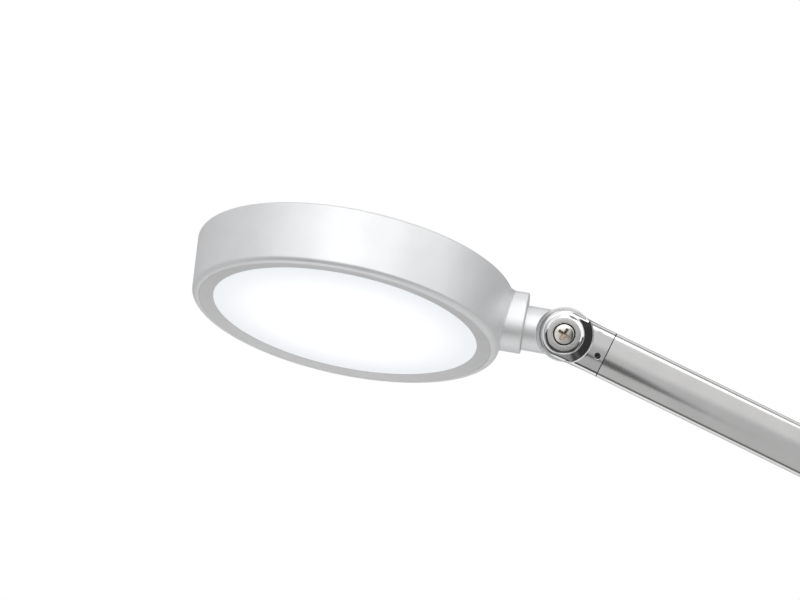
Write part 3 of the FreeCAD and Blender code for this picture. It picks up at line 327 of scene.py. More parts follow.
@dataclass
class Shell:
    """Patches of one piece in its own frame, made into one closed mesh object."""

    name: str
    frame: Frame
    patches: list[Patch] = field(default_factory=list)
    sharp_angle: float = CREASE

    def add(self, *patches: Patch) -> "Shell":
        """Adds patches and gives the shell back."""
        self.patches.extend(patches)
        return self

    def make(self) -> Piece:
        """Makes the object: welds the patches, turns the faces outwards and keeps the edges crisp.

        The piece's own coordinates go into the attribute "own", in metres, for patterns that follow it.

        Returns:
            The object, at the origin, with its place in its mesh.
        """
        starts = np.cumsum([0] + [patch.points[..., 0].size for patch in self.patches])
        points = np.concatenate([patch.points.reshape(-1, 3) for patch in self.patches]).astype(float)
        quads = np.concatenate([patch.quads(int(start)) for patch, start in zip(self.patches, starts)])
        mesh = bpy.data.meshes.new(self.name)
        mesh.from_pydata(self.frame.to_lamp(points), [], quads.tolist())
        own = mesh.attributes.new("own", "FLOAT_VECTOR", "POINT")
        own.data.foreach_set("vector", (points * MM).ravel())
        weld_and_orient(mesh, self.sharp_angle)
        thing = bpy.data.objects.new(self.name, mesh)
        bpy.context.scene.collection.objects.link(thing)
        LOG.info("%s: %d faces", self.name, len(mesh.polygons))
        return thing


def weld_and_orient(mesh: bpy.types.Mesh, sharp_angle: float) -> None:
    """Merges doubled points, turns the faces outwards and shades smooth up to an angle.

    Args:
        mesh: the mesh to finish.
        sharp_angle: edges that turn by more than this, in degrees, stay crisp.
    """
    work = bmesh.new()
    work.from_mesh(mesh)
    bmesh.ops.remove_doubles(work, verts=work.verts, dist=WELD)
    bmesh.ops.dissolve_degenerate(work, edges=work.edges, dist=SHORTEST_EDGE)
    bmesh.ops.recalc_face_normals(work, faces=work.faces)
    work.to_mesh(mesh)
    work.free()
    mesh.shade_smooth()
    mesh.set_sharp_from_angle(angle=math.radians(sharp_angle))
    mesh.update()


# ---- shader bench
Number = float | int
FINE_BUMP, COARSE_BUMP = 0.0001, 0.0004   # depth of a bump in metres


@dataclass(frozen=True)
class Wire:
    """An output of a shader node; arithmetic on it adds Math nodes."""

    bench: "Bench"
    socket: bpy.types.NodeSocket

    def with_(self, operation: str, *others: "Wire | Number") -> "Wire":
        """The result of a Math node's operation on this wire and the others."""
        values = dict(enumerate((self, *others)))
        return self.bench.node("ShaderNodeMath", {"operation": operation}, values)

    def __add__(self, other: "Wire | Number") -> "Wire":
        """Sum."""
        return self.with_("ADD", other)

    __radd__ = __add__

    def __mul__(self, other: "Wire | Number") -> "Wire":
        """Product."""
        return self.with_("MULTIPLY", other)

    __rmul__ = __mul__

    def __sub__(self, other: "Wire | Number") -> "Wire":
        """Difference."""
        return self.with_("SUBTRACT", other)

    def __rsub__(self, other: Number) -> "Wire":
        """Difference from a number."""
        return self.with_("MULTIPLY_ADD", -1.0, other)

    def __truediv__(self, other: "Wire | Number") -> "Wire":
        """Quotient."""
        return self.with_("DIVIDE", other)

    def __abs__(self) -> "Wire":
        """Size without sign."""
        return self.with_("ABSOLUTE")

    def ramp(self, low: float, high: float) -> "Wire":
        """Smooth step from 0 to 1 while this wire goes from low to high."""
        values = {"Value": self, "From Min": low, "From Max": high}
        return self.bench.node("ShaderNodeMapRange", {"interpolation_type": "SMOOTHSTEP"}, values)


@dataclass
class Bench:
    """A node tree being put together."""

    tree: bpy.types.NodeTree

    def node(
        self, kind: str, settings: dict | None = None, values: dict | None = None, out: int | str = 0
    ) -> Wire:
        """Adds a node, its settings first and then its sockets.

        Args:
            kind: the node's type name.
            settings: attributes of the node.
            values: numbers, colours or wires by socket name or number.
            out: the output to give back.

        Returns:
            The chosen output as a wire.
        """
        made = self.tree.nodes.new(kind)
        for key, value in (settings or {}).items():
            setattr(made, key, value)
        for key, value in (values or {}).items():
            socket = made.inputs[key]
            if isinstance(value, Wire):
                self.tree.links.new(value.socket, socket)
            else:
                socket.default_value = value
        return Wire(self, made.outputs[out] if len(made.outputs) else None)

    def place(self) -> Wire:
        """Place in the lamp's frame, in metres."""
        return self.node("ShaderNodeTexCoord", out="Object")

    def own_place(self) -> Wire:
        """Place in the piece's own frame, in metres."""
        return self.node("ShaderNodeAttribute", {"attribute_name": "own"}, out="Vector")

    def axis(self, vector: Wire, letter: str) -> Wire:
        """One component of a vector."""
        return self.node("ShaderNodeSeparateXYZ", None, {0: vector}, out=letter)

    def stretched(self, vector: Wire, scale: tuple[float, float, float]) -> Wire:
        """A vector multiplied by a scale on each axis."""
        return self.node("ShaderNodeVectorMath", {"operation": "MULTIPLY"}, {0: vector, 1: scale})

    def speckle(self, vector: Wire, scale: float, detail: float = 2.0, roughness: float = 0.5) -> Wire:
        """Noise between 0 and 1."""
        values = {"Vector": vector, "Scale": scale, "Detail": detail, "Roughness": roughness}
        return self.node("ShaderNodeTexNoise", None, values, out="Fac")

    def length(self, vector: Wire) -> Wire:
        """Length of a vector."""
        return self.node("ShaderNodeVectorMath", {"operation": "LENGTH"}, {0: vector}, "Value")

    def blend(self, share: Wire | Number, first: "Colour | Wire", second: "Colour | Wire") -> Wire:
        """Mixes two colours; a Mix node's colour sockets are numbers 6 and 7, and its colour output is 2."""
        settings = {"data_type": "RGBA", "clamp_factor": True}
        return self.node("ShaderNodeMix", settings, {0: share, 6: first, 7: second}, out=2)

    def bump(self, height: Wire, strength: float, distance: float = FINE_BUMP) -> Wire:
        """Normal of a surface with a small height."""
        values = {"Height": height, "Strength": strength, "Distance": distance}
        return self.node("ShaderNodeBump", None, values)


Colour = tuple[float, float, float, float]


def grey(level: float, warmth: float = 0.0) -> Colour:
    """A grey of a linear level, a little red over blue when warm."""
    return (level * (1 + warmth), level, level * (1 - warmth), 1.0)


def dimmed(colour: Colour, share: float) -> Colour:
    """A colour at a share of its level."""
    return (colour[0] * share, colour[1] * share, colour[2] * share, 1.0)


# ---- finishes
@dataclass(frozen=True)
class Finish:
    """A named surface finish; each kind says how its nodes are laid out."""

    name: str

    def shader(self, bench: Bench) -> dict:
        """The Principled shader's sockets."""
        raise NotImplementedError

    def material(self) -> bpy.types.Material:
        """The finish as a material, made once.

        Returns:
            The material of this name.
        """
        found = bpy.data.materials.get(self.name)
        if found is not None:
            return found
        made = bpy.data.materials.new(self.name)
        made.use_nodes = True
        made.node_tree.nodes.clear()
        bench = Bench(made.node_tree)
        surface = bench.node("ShaderNodeBsdfPrincipled", None, self.shader(bench))
        bench.node("ShaderNodeOutputMaterial", None, {"Surface": surface})
        return made

    def dress(self, thing: Piece) -> None:
        """Gives the finish to an object."""
        thing.data.materials.clear()
        thing.data.materials.append(self.material())


@dataclass(frozen=True)
class SatinMetal(Finish):
    """Bead-blasted and plated metal: fine grains, faint clouds in its gloss, small handling marks."""

    colour: Colour = grey(0.80, -0.006)
    roughness: float = 0.42
    metallic: float = 0.6
    grain_bump: float = 0.035
    cloud: float = 0.05

    def shader(self, bench: Bench) -> dict:
        """Grain at 0.25 mm in the bump, clouds at 25 mm and thin marks in the roughness.

        Args:
            bench: where the nodes go.

        Returns:
            Values by socket name.
        """
        place = bench.place()
        grain = bench.speckle(place, 3800.0)
        cloud = bench.speckle(place, 38.0, 4.0, 0.6)
        marks = bench.speckle(bench.stretched(place, (1.0, 0.35, 1.0)), 420.0, 5.0, 0.7).ramp(0.62, 0.78)
        tone = bench.blend(cloud.ramp(0.3, 0.7), self.colour, dimmed(self.colour, 0.94))
        return {
            "Base Color": tone,
            "Metallic": self.metallic,
            "Roughness": self.roughness + (cloud - 0.5) * self.cloud + marks * 0.03 + (grain - 0.5) * 0.03,
            "Normal": bench.bump(grain, self.grain_bump),
        }


PAINTED_SHADE = grey(0.03)                # painted shade in the seams and in the screws' seats
SEAM_SHADE_START, SEAM_SHADE_FULL = 0.28, 0.2   # millimetres before a seam where its painted shade starts and is full


@dataclass(frozen=True)
class ArmSatin(SatinMetal):
    """Glossier satin of a tube from start to end along its own x; its seams at both ends get painted shade.
    """

    colour: Colour = grey(0.80, 0.012)
    roughness: float = 0.075
    metallic: float = 0.9
    grain_bump: float = 0.02
    cloud: float = 0.03
    start: float = SHORT_SEAM
    end: float = ARM_LENGTH - LONG_SEAM

    def shader(self, bench: Bench) -> dict:
        """The end faces lie more than half the length from the middle, less 0.2 mm.

        Args:
            bench: where the nodes go.

        Returns:
            Values by socket name.
        """
        sockets = super().shader(bench)
        middle, half = (self.start + self.end) / 2, (self.end - self.start) / 2
        along = abs(bench.axis(bench.own_place(), "X") / MM - middle)
        # Painted shade: the tube darkens to near black over its last 0.28 mm at both ends, for the shade in
        # the seams.
        seam_shade = along.ramp(half - SEAM_SHADE_START, half - SEAM_SHADE_FULL)
        sockets["Base Color"] = bench.blend(seam_shade, sockets["Base Color"], PAINTED_SHADE)
        return sockets


@dataclass(frozen=True)
class ChromePlate(Finish):
    """Polished plating: almost a mirror, with faint polishing swirls and a film of dust."""

    colour: Colour = grey(0.78)
    roughness: float = 0.045

    def shader(self, bench: Bench) -> dict:
        """Clouds at 12 mm and hairlines in the roughness, a wave of a few microns in the bump.

        Args:
            bench: where the nodes go.

        Returns:
            Values by socket name.
        """
        place = bench.place()
        cloud = bench.speckle(place, 90.0, 4.0, 0.6)
        hair = bench.speckle(bench.stretched(place, (1.0, 1.0, 9.0)), 900.0, 3.0, 0.6)
        wave = bench.speckle(place, 160.0, 1.0)
        dulled = bench.blend(cloud.ramp(0.35, 0.75), self.colour, dimmed(self.colour, 0.93))
        return {
            "Base Color": dulled,
            "Metallic": 1.0,
            "Roughness": self.roughness + cloud.ramp(0.4, 0.8) * 0.03 + hair.ramp(0.55, 0.8) * 0.03,
            "Normal": bench.bump(wave, 0.04),
        }


@dataclass(frozen=True)
class ForkChrome(ChromePlate):
    """Chrome of the forks: boss faces brushed across the arm, painted shade in the screw's seat and the arm's
    seam.
    """

    boss_radius: float = 8.35
    boss_level: float = 8.8
    seat_radius: float = 5.55
    seat_floor: float = 8.0
    seam: float = SHORT_SEAM
    brushed: float = 0.24
    brushed_colour: Colour = grey(0.54, 0.012)

    def shader(self, bench: Bench) -> dict:
        """Masks from the distance to the hinge and the level over its plane; brush lines 0.1 mm apart.

        Args:
            bench: where the nodes go.

        Returns:
            Values by socket name.
        """
        sockets = super().shader(bench)
        own = bench.own_place()
        out = bench.length(bench.stretched(own, (1, 0, 1))) / MM
        level = abs(bench.axis(own, "Y")) / MM
        top = level.ramp(self.boss_level - 0.12, self.boss_level - 0.05)
        face = top * (1 - out.ramp(self.boss_radius - 0.06, self.boss_radius + 0.02))
        # Painted shade: the bore below the seat's floor and the last 0.28 mm before the arm's seam darken to
        # near black.
        bore_shade = 1 - out.ramp(self.seat_radius, self.seat_radius + 0.1)
        seat = bore_shade * (1 - level.ramp(self.seat_floor, self.boss_level - 0.2))
        seam_shade = (bench.axis(own, "X") / MM).ramp(self.seam - SEAM_SHADE_START, self.seam - SEAM_SHADE_FULL)
        seat = seat.with_("MAXIMUM", seam_shade)
        lines = bench.speckle(bench.stretched(own, (1.0, 1.0, 18.0)), 520.0, 3.0, 0.6)
        plated = bench.blend(face, sockets["Base Color"], self.brushed_colour)
        sockets["Base Color"] = bench.blend(seat, plated, PAINTED_SHADE)
        sockets["Roughness"] = sockets["Roughness"] + face * (lines * 0.12 + self.brushed) + seat * 0.3
        sockets["Normal"] = bench.bump(lines * face, 0.12, 0.6 * FINE_BUMP)
        return sockets


@dataclass(frozen=True)
class ScrewNickel(ChromePlate):
    """Nickel of the cross screws, darker and brown down in the cross recess, by its depth."""

    face: float = 8.6
    dark_recess_brown: Colour = (0.30, 0.22, 0.16, 1.0)
    light_recess_brown: Colour = (0.46, 0.38, 0.30, 1.0)

    def shader(self, bench: Bench) -> dict:
        """Darker brown colour by the depth under the head's face.

        Args:
            bench: where the nodes go.

        Returns:
            Values by socket name.
        """
        sockets = super().shader(bench)
        level = bench.axis(bench.own_place(), "Y") / MM
        # Darker and brown deeper than 0.1 mm under the head's face, with a mottle.
        deep = (level + self.face).ramp(0.1, 0.5)
        recess_mottle = bench.speckle(bench.place(), 1500.0, 3.0)
        brown = bench.blend(recess_mottle, self.dark_recess_brown, self.light_recess_brown)
        sockets["Base Color"] = bench.blend(deep, sockets["Base Color"], brown)
        sockets["Roughness"] = sockets["Roughness"] + deep * 0.2
        return sockets


@dataclass(frozen=True)
class Moulded(Finish):
    """Moulded plastic, nylon or rubber: a fine texture from the mould and slightly uneven gloss."""

    colour: Colour = grey(0.05)
    roughness: float = 0.5
    grain: float = 1800.0
    grain_bump: float = 0.12
    dust: float = 0.06
    dust_colour: Colour = (0.55, 0.54, 0.52, 1.0)

    def shader(self, bench: Bench) -> dict:
        """Mould texture in the bump, dust that lightens the colour a little.

        Args:
            bench: where the nodes go.

        Returns:
            Values by socket name.
        """
        place = bench.place()
        grain = bench.speckle(place, self.grain, 3.0, 0.6)
        dust = bench.speckle(place, 60.0, 5.0, 0.65).ramp(0.5, 0.85)
        dusty = bench.blend(dust * self.dust, self.colour, self.dust_colour)
        return {
            "Base Color": dusty,
            "Roughness": self.roughness + dust * 0.1 + (grain - 0.5) * 0.08,
            "Normal": bench.bump(grain, self.grain_bump),
        }


@dataclass(frozen=True)
class CastIron(Finish):
    """Painted casting: coarse sand texture under dark paint."""

    paint: Colour = grey(0.035)
    worn: Colour = grey(0.11, 0.02)

    def shader(self, bench: Bench) -> dict:
        """Sand grain at 1 mm in the bump, worn paint on the tips.

        Args:
            bench: where the nodes go.

        Returns:
            Values by socket name.
        """
        place = bench.place()
        sand = bench.speckle(place, 700.0, 5.0, 0.65)
        tips = sand.ramp(0.6, 0.8)
        return {
            "Base Color": bench.blend(tips, self.paint, self.worn),
            "Metallic": tips * 0.4,
            "Roughness": 0.62 - tips * 0.15,
            "Normal": bench.bump(sand, 0.35, COARSE_BUMP),
        }


@dataclass(frozen=True)
class CircuitBoard(Finish):
    """Green solder mask over copper runs."""

    mask: Colour = (0.012, 0.10, 0.035, 1.0)
    runs: Colour = (0.03, 0.19, 0.06, 1.0)

    def shader(self, bench: Bench) -> dict:
        """Runs are the edges of square cells 3 mm wide.

        Args:
            bench: where the nodes go.

        Returns:
            Values by socket name.
        """
        place = bench.place()
        values = {"Vector": place, "Scale": 330.0, "Randomness": 0.35}
        settings = {"distance": "CHEBYCHEV", "feature": "F1"}
        runs = bench.node("ShaderNodeTexVoronoi", settings, values, out="Distance").ramp(0.42, 0.5)
        fibre = bench.speckle(place, 1500.0)
        return {
            "Base Color": bench.blend(runs, self.mask, self.runs),
            "Roughness": 0.32 + fibre * 0.1,
            "Normal": bench.bump(runs, 0.3, FINE_BUMP / 2),
        }


@dataclass(frozen=True)
class OpalLight(Finish):
    """Opal acrylic lit from behind: white in the middle, a little cooler and dimmer towards its rim."""

    radius: float = 67.4 * MM
    glow: float = 0.5
    middle: Colour = (0.62, 0.63, 0.64, 1.0)
    rim: Colour = (0.53, 0.545, 0.56, 1.0)
    middle_glow: Colour = (1.0, 1.0, 1.0, 1.0)
    rim_glow: Colour = (0.79, 0.82, 0.85, 1.0)

    def shader(self, bench: Bench) -> dict:
        """The glow falls off over the outer third of the disc's own radius; dots of 0.6 mm in the bump.

        Args:
            bench: where the nodes go.

        Returns:
            Values by socket name.
        """
        out = bench.length(bench.stretched(bench.own_place(), (1, 1, 0)))
        edge = (out / self.radius).ramp(0.55, 1.02)
        dots = bench.speckle(bench.place(), 1700.0, 1.0)
        return {
            "Base Color": bench.blend(edge, self.middle, self.rim),
            "Roughness": 0.34 + dots * 0.06,
            "Emission Color": bench.blend(edge, self.middle_glow, self.rim_glow),
            "Emission Strength": self.glow,
            "Normal": bench.bump(dots, 0.04),
        }


@dataclass(frozen=True)
class LedPhosphor(Finish):
    """Yellow phosphor over a lit chip."""

    dark: Colour = (0.85, 0.72, 0.25, 1.0)
    light: Colour = (0.95, 0.85, 0.45, 1.0)
    dark_glow: Colour = (1.0, 0.93, 0.75, 1.0)
    light_glow: Colour = (1.0, 0.97, 0.86, 1.0)

    def shader(self, bench: Bench) -> dict:
        """Grain of the phosphor in colour and bump.

        Args:
            bench: where the nodes go.

        Returns:
            Values by socket name.
        """
        grain = bench.speckle(bench.place(), 2600.0)
        return {
            "Base Color": bench.blend(grain, self.dark, self.light),
            "Roughness": 0.4 + grain * 0.1,
            "Emission Color": bench.blend(grain, self.dark_glow, self.light_glow),
            "Emission Strength": 1.0,
            "Normal": bench.bump(grain, 0.1),
        }


# ---- fitting
@dataclass(frozen=True)
class CrossHead:
    """Round screw head with a cross recess, facing +z from its face at z = 0."""

    radius: float
    depth: float
    dome: float
    span: float
    width: float
    recess: float
    turn: float = 0.0
    lean: float = 0.22
    tip_rise: float = 0.55
    rim: float = 0.3

    def height(self, x: Array, y: Array) -> Array:
        """Height over the face: a shallow dome less a cross of two slots, shallower towards its tips.

        A slot's depth falls from 1 to 0 over its leaning walls and ends.

        Args:
            x: places across the face.
            y: places along it.

        Returns:
            Heights.
        """
        dome = self.dome * np.clip(1 - (x**2 + y**2) / self.radius**2, 0, 1)
        c, s = math.cos(math.radians(self.turn)), math.sin(math.radians(self.turn))
        u, v = np.abs(c * x + s * y), np.abs(-s * x + c * y)
        ends = np.clip((self.span / 2 - np.stack([u, v])) / self.lean, 0, 1)
        walls = np.clip((self.width / 2 - np.stack([v, u])) / self.lean, 0, 1)
        rise = 1 - self.tip_rise * np.clip(np.hypot(u, v) / (self.span / 2), 0, 1)
        return dome - self.recess * np.minimum(ends, walls).max(axis=0) * rise

    def patch(self, rings: int = 44, rays: int = 144) -> Patch:
        """The head as rings about its centre, with a rounded rim and its underside closed.

        Args:
            rings: rings of the face.
            rays: facets of the turn.

        Returns:
            The skin.
        """
        inner = np.linspace(0, self.radius - self.rim - 0.05, rings)
        bend = np.radians(np.linspace(0, 90, 6))
        angle = full_turn(rays)[:, None]
        x, y = inner * np.cos(angle), inner * np.sin(angle)
        top = np.stack([x, y, self.height(x, y)], axis=2)
        radii = np.concatenate([self.radius - self.rim * (1 - np.sin(bend)), [self.radius, 0.0]])
        heights = np.concatenate([self.rim * (np.cos(bend) - 1), [-self.depth, -self.depth]])
        lift = np.broadcast_to(heights, (rays, len(heights)))
        side = np.stack([radii * np.cos(angle), radii * np.sin(angle), lift], axis=2)
        return Patch(np.concatenate([top, side], axis=1), closed_rows=True)


class Body(Enum):
    """The lamp's moving bodies."""

    BASE = "base"
    STEM = "stem"
    LOWER_ARM = "lower_arm"
    UPPER_ARM = "upper_arm"
    NECK = "neck"
    HEAD = "head"
    BUTTON = "button"


class Slot(Enum):
    """The record's material slots, each named as the finish that it takes."""

    BASE_COAT = "base_shell"
    SATIN = "satin_silver"
    CHROME = "chrome_knuckle"
    NICKEL = "nickel_screw"
    FASTENER = "steel_fastener"
    PLAIN_ALUMINIUM = "plain_aluminium"
    BLACK_STEEL = "black_screw"
    RUBBER = "rubber_foot"
    BLACK_PLASTIC = "black_plastic"
    NYLON = "nylon"
    CABLE = "cable"
    WHITE_PLASTIC = "white_plastic"
    IRON = "weight"
    BOARD = "circuit_board"
    OPAL = "opal"
    PHOSPHOR = "led_chip"


def fit(piece: Piece, body: Body, finish: Finish, node: str) -> None:
    """Dresses a finished piece, ties it to its body and lets it stand for a CAD node.

    Args:
        piece: the finished object.
        body: the body that carries it.
        finish: its finish.
        node: CAD node that it stands for.
    """
    finish.dress(piece)
    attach(piece, body.value)
    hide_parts(node)
    LOG.info("%s rides on %s and stands for %s", piece.name, body.value, node)


@dataclass(frozen=True)
class Finishes:
    """All finishes of the lamp, by what they coat."""

    satin: Finish = SatinMetal("satin_silver_plate", roughness=0.48, metallic=0.75)
    upper_satin: Finish = ArmSatin("satin_upper_arm", start=SHORT_SEAM, end=ARM_LENGTH - LONG_SEAM)
    lower_satin: Finish = ArmSatin("satin_lower_arm", start=LONG_SEAM, end=ARM_LENGTH - SHORT_SEAM)
    bezel: Finish = SatinMetal("satin_silver_bezel", grey(0.66), 0.40)
    # Painted shade: the base cover and the rear cover are the head's satin silver darkened to 0.54, so that
    # they mirror the bright studio less from behind.
    base_coat: Finish = SatinMetal("satin_silver_base_shaded", grey(0.54, -0.004), 0.38, 0.7)
    rear_satin: Finish = SatinMetal("satin_silver_rear_shaded", grey(0.54), 0.46, 0.7)
    chrome: Finish = ChromePlate("bright_chrome")
    fork_chrome: Finish = ForkChrome("fork_chrome")
    long_fork_chrome: Finish = ForkChrome("elbow_fork_chrome", seam=LONG_SEAM)
    nickel: Finish = ScrewNickel("bright_nickel", (0.80, 0.765, 0.71, 1.0), 0.14)
    fastener: Finish = SatinMetal("zinc_plated_steel", grey(0.55, 0.01), 0.3, 0.9)
    plain_aluminium: Finish = SatinMetal("mill_aluminium", grey(0.70), 0.32, 0.9, 0.05)
    black_steel: Finish = Moulded("blackened_steel", grey(0.02), 0.34, 2400.0, 0.05)
    rubber: Finish = Moulded("black_rubber", grey(0.03), 0.75, 1500.0, 0.2, 0.12)
    black_plastic: Finish = Moulded("black_inlet_plastic", grey(0.035), 0.45)
    nylon: Finish = Moulded("natural_nylon", (0.72, 0.70, 0.64, 1.0), 0.5, 1600.0, 0.06)
    cable: Finish = Moulded("cable_sleeve", grey(0.04), 0.5, 1200.0, 0.08)
    white_plastic: Finish = Moulded("white_reflector_plastic", grey(0.80), 0.42, 1500.0, 0.04)
    iron: Finish = CastIron("painted_cast_iron")
    board: Finish = CircuitBoard("green_circuit_board")
    opal: Finish = OpalLight("opal_acrylic")
    phosphor: Finish = LedPhosphor("led_phosphor")

    def for_slot(self, slot: Slot) -> Finish:
        """The finish that is named as the slot is."""
        return getattr(self, slot.name.lower())


# ---- head
@dataclass
class Head:
    """Round LED head: band, bezel, opal diffuser, domed rear cover, push button and collar.

    Its own frame is the drum's: z from the light face to the rear cover, x towards the neck.  The collar's
    width and height are halves of its outline.
    """

    frame: Frame
    face_radius: float = 75.8
    face_drop: float = 15.1
    face_flat: float = 0.9
    front_rounding: float = 2.8
    front_bend: float = 0.62
    band_edge: float = 2.5
    band_flare: float = 3.0
    rear_rounding: float = 1.3
    rear_step: float = 1.7
    rear_height: float = 14.7
    band_wall: float = 2.2
    cover_ledge: float = 1.5
    bezel_width: float = 8.4
    bezel_lip: float = 1.3
    bezel_depth: float = 4.0
    bezel_seat: float = 2.2
    bezel_play: float = 0.05
    diffuser_recess: float = 1.2
    diffuser_thickness: float = 2.0
    diffuser_crown: float = 0.25
    diffuser_step: float = 0.65
    diffuser_rim: float = 2.0
    cover_gap: float = 0.2
    cover_dome: float = 4.5
    cover_wall: float = 2.0
    cover_break: float = 0.35
    button_radius: float = 6.5
    button_clearance: float = 0.3
    button_proud: float = 1.2
    button_dish: float = 0.45
    button_rounding: float = 0.6
    button_play: float = 1.3
    flange_width: float = 1.4
    flange_thickness: float = 1.0
    plunger_radius: float = 2.0
    plunger_length: float = 8.9
    collar_height: float = 15.0
    collar_width: float = 14.5
    collar_rise: float = 2.2
    collar_squareness: float = 2.4
    collar_face: float = 88.8
    collar_bevel: float = 0.5
    collar_seat: float = 0.4
    seat_edge: float = 0.2
    boss_spread: float = 6.5
    boss_swell: float = 1.25
    boss_root: float = 70.0
    boss_sink: float = 0.4
    screw_circle: float = 73.6
    screw_turns: tuple[float, ...] = (45.0, 135.0, 225.0, 315.0)
    screw_sink: float = 0.1
    screw_head: CrossHead = CrossHead(2.6, depth=1.6, dome=0.0, span=2.6, width=0.55, recess=0.7)

    @property
    def front_radius(self) -> float:
        """Flank's radius at its front end."""
        return self.face_radius + self.band_edge

    @property
    def rear_radius(self) -> float:
        """Flank's radius at its rear end."""
        return self.front_radius + self.band_flare

    @property
    def rear_edge(self) -> float:
        """Radius at which the band's rear rounding ends and the rear cover's dome begins."""
        return self.rear_radius - self.rear_step

    @property
    def diffuser_radius(self) -> float:
        """Radius of the bezel's opening."""
        return self.face_radius - self.bezel_width

    def flank_radius(self, height: Array) -> Array:
        """Radius of the conical flank at a height: a straight line between its two ends."""
        low, high = self.front_rounding - self.face_drop, self.rear_height - self.rear_rounding
        return self.front_radius + self.band_flare * (height - low) / (high - low)

    def seat_level(self, height: Array) -> Array:
        """Distance along x of the collar's seat, a plane that follows the flank at the neck."""
        return self.flank_radius(height) + self.collar_seat

    def collar_outline(self, share: float = 1.0) -> tuple[Array, Array]:
        """The collar's super-ellipse |y/a|^n + |(z - rise)/b|^n = 1, shrunk about its centre.

        Args:
            share: size of the outline against the collar's own.

        Returns:
            The outline's y and z.
        """
        angle = full_turn(240)
        power = 2 / self.collar_squareness
        across = np.sign(np.cos(angle)) * np.abs(np.cos(angle)) ** power
        upward = np.sign(np.sin(angle)) * np.abs(np.sin(angle)) ** power
        upward = upward * self.collar_height * share + self.collar_rise
        return across * self.collar_width * share, upward

    def boss(self) -> Patch:
        """Boss on the band under the collar, which swells out of the flank at its sides.

        The swell rises from the flank to the seat as a power of the way from the landing to the outline.

        Returns:
            Loops from inside the wall out to the seat.
        """
        across, upward = self.collar_outline()
        seat = self.seat_level(upward)
        over_edge = upward > self.rear_height - 0.1
        foot_radius = np.where(over_edge, self.rear_edge, self.flank_radius(upward))
        foot = np.sqrt(foot_radius**2 - across**2)
        spread = self.boss_spread * np.clip(np.abs(across) / self.collar_width, 0, 1) ** 2 + HAIR
        landing = across + np.sign(across) * spread
        flat = np.where(over_edge, foot, np.sqrt(foot_radius**2 - landing**2))
        loops = [self.loop(0.0, self.boss_root), self.loop(0.8, self.boss_root + 4.0)]
        loops.append(np.stack([flat - self.boss_sink, across, upward], axis=1))
        loops.append(np.stack([flat - self.boss_sink / 8, landing, upward], axis=1))
        for share in np.linspace(0, 1, 13):
            reach = flat + (seat - self.seat_edge - flat) * share**self.boss_swell
            loops.append(np.stack([reach, landing + (across - landing) * share, upward], axis=1))
        edge = 1 - self.seat_edge / self.collar_height
        loops += [self.loop(share, self.seat_level) for share in (edge, 0.5, 0.0)]
        return Patch(np.stack(loops, axis=1), closed_rows=True)

    def loop(self, share: float, reach: Array | float | Callable[[Array], Array]) -> Array:
        """The collar's outline at a distance along x.

        Args:
            share: size of the outline against the collar's own.
            reach: distance along x, or the rule that gives it from the height.

        Returns:
            (n, 3) points.
        """
        across, upward = self.collar_outline(share)
        level = reach(upward) if callable(reach) else np.broadcast_to(reach, across.shape)
        return np.stack([level, across, upward], axis=1)

    def dome_height(self, radius: Array) -> Array:
        """Height of the rear cover at a distance from the axis: a sphere through the band's rear edge."""
        sphere = (self.rear_edge**2 + self.cover_dome**2) / (2 * self.cover_dome)
        return self.rear_height + np.sqrt(sphere**2 - radius**2) - (sphere - self.cover_dome)

    def band(self) -> Piece:
        """Aluminium band: the flank between two rounded edges, turned inwards at both.

        Returns:
            The band.
        """
        face, low, rear = self.face_radius, -self.face_drop, self.rear_height
        opening = self.rear_edge - self.bezel_lip
        inner, ledge = self.front_radius - self.band_wall, rear - self.cover_wall - self.cover_ledge
        corners = np.array([
            [face - self.bezel_lip, low], [face + self.face_flat, low],
            [self.front_radius - HAIR, low + self.front_rounding * self.front_bend],
            [self.rear_radius, rear], [opening, rear], [opening, ledge],
            [inner, ledge - self.cover_ledge], [inner - self.cover_ledge, 0.0],
            [inner - self.bezel_seat, low + self.bezel_depth + 1.0],
            [face - self.bezel_lip, low + self.bezel_depth],
        ])
        roundings = np.array([0.15, 2.2, 2.4, self.rear_rounding, 0.25, 0, 0, 0, 0, 0])
        ring = turned_profile(rounded_outline(corners, roundings), FINEST)
        return Shell("drum_band", self.frame).add(ring, self.boss()).make()

    def bezel(self) -> Piece:
        """Front ring that slopes in to the diffuser's edge.

        Returns:
            The bezel.
        """
        outer, low = self.face_radius - self.bezel_lip - self.bezel_play, -self.face_drop
        inner, lip = self.diffuser_radius, low + self.diffuser_recess - self.cover_gap
        seat, step = inner + self.bezel_seat, low + self.diffuser_recess + self.bezel_lip / 2
        corners = np.array([
            [outer, low], [outer, low + self.bezel_depth], [seat, low + self.bezel_depth],
            [seat, step], [inner, step], [inner, lip],
        ])
        profile = rounded_outline(corners, np.array([0.2, 0.2, 0.2, 0, 0.1, 0.18]))
        return Shell("front_bezel", self.frame).add(turned_profile(profile, FINEST)).make()

    def diffuser(self) -> Piece:
        """Opal disc with a step at its rim; its face is drawn up a hair towards the middle.

        Returns:
            The disc.
        """
        front = -self.face_drop + self.diffuser_recess
        rear = front + self.diffuser_thickness
        radius = self.diffuser_radius - self.cover_gap / 2
        outer, step = radius + self.diffuser_rim, front + self.diffuser_step
        rings = np.linspace(0, 1, 26)[:-1] * (radius - 0.4)
        face = np.column_stack([rings, front - self.diffuser_crown * (1 - (rings / radius) ** 2)])
        rim = rounded_outline(np.array([
            [radius - 0.3, front], [radius, front], [radius, step], [outer, step], [outer, rear], [0.0, rear],
        ]), np.array([0, 0.12, 0, 0.1, 0.1, 0]), closed=False)
        patch = turned_profile(np.concatenate([face, rim]), FINE, closed=False)
        return Shell("opal_diffuser", self.frame).add(patch).make()

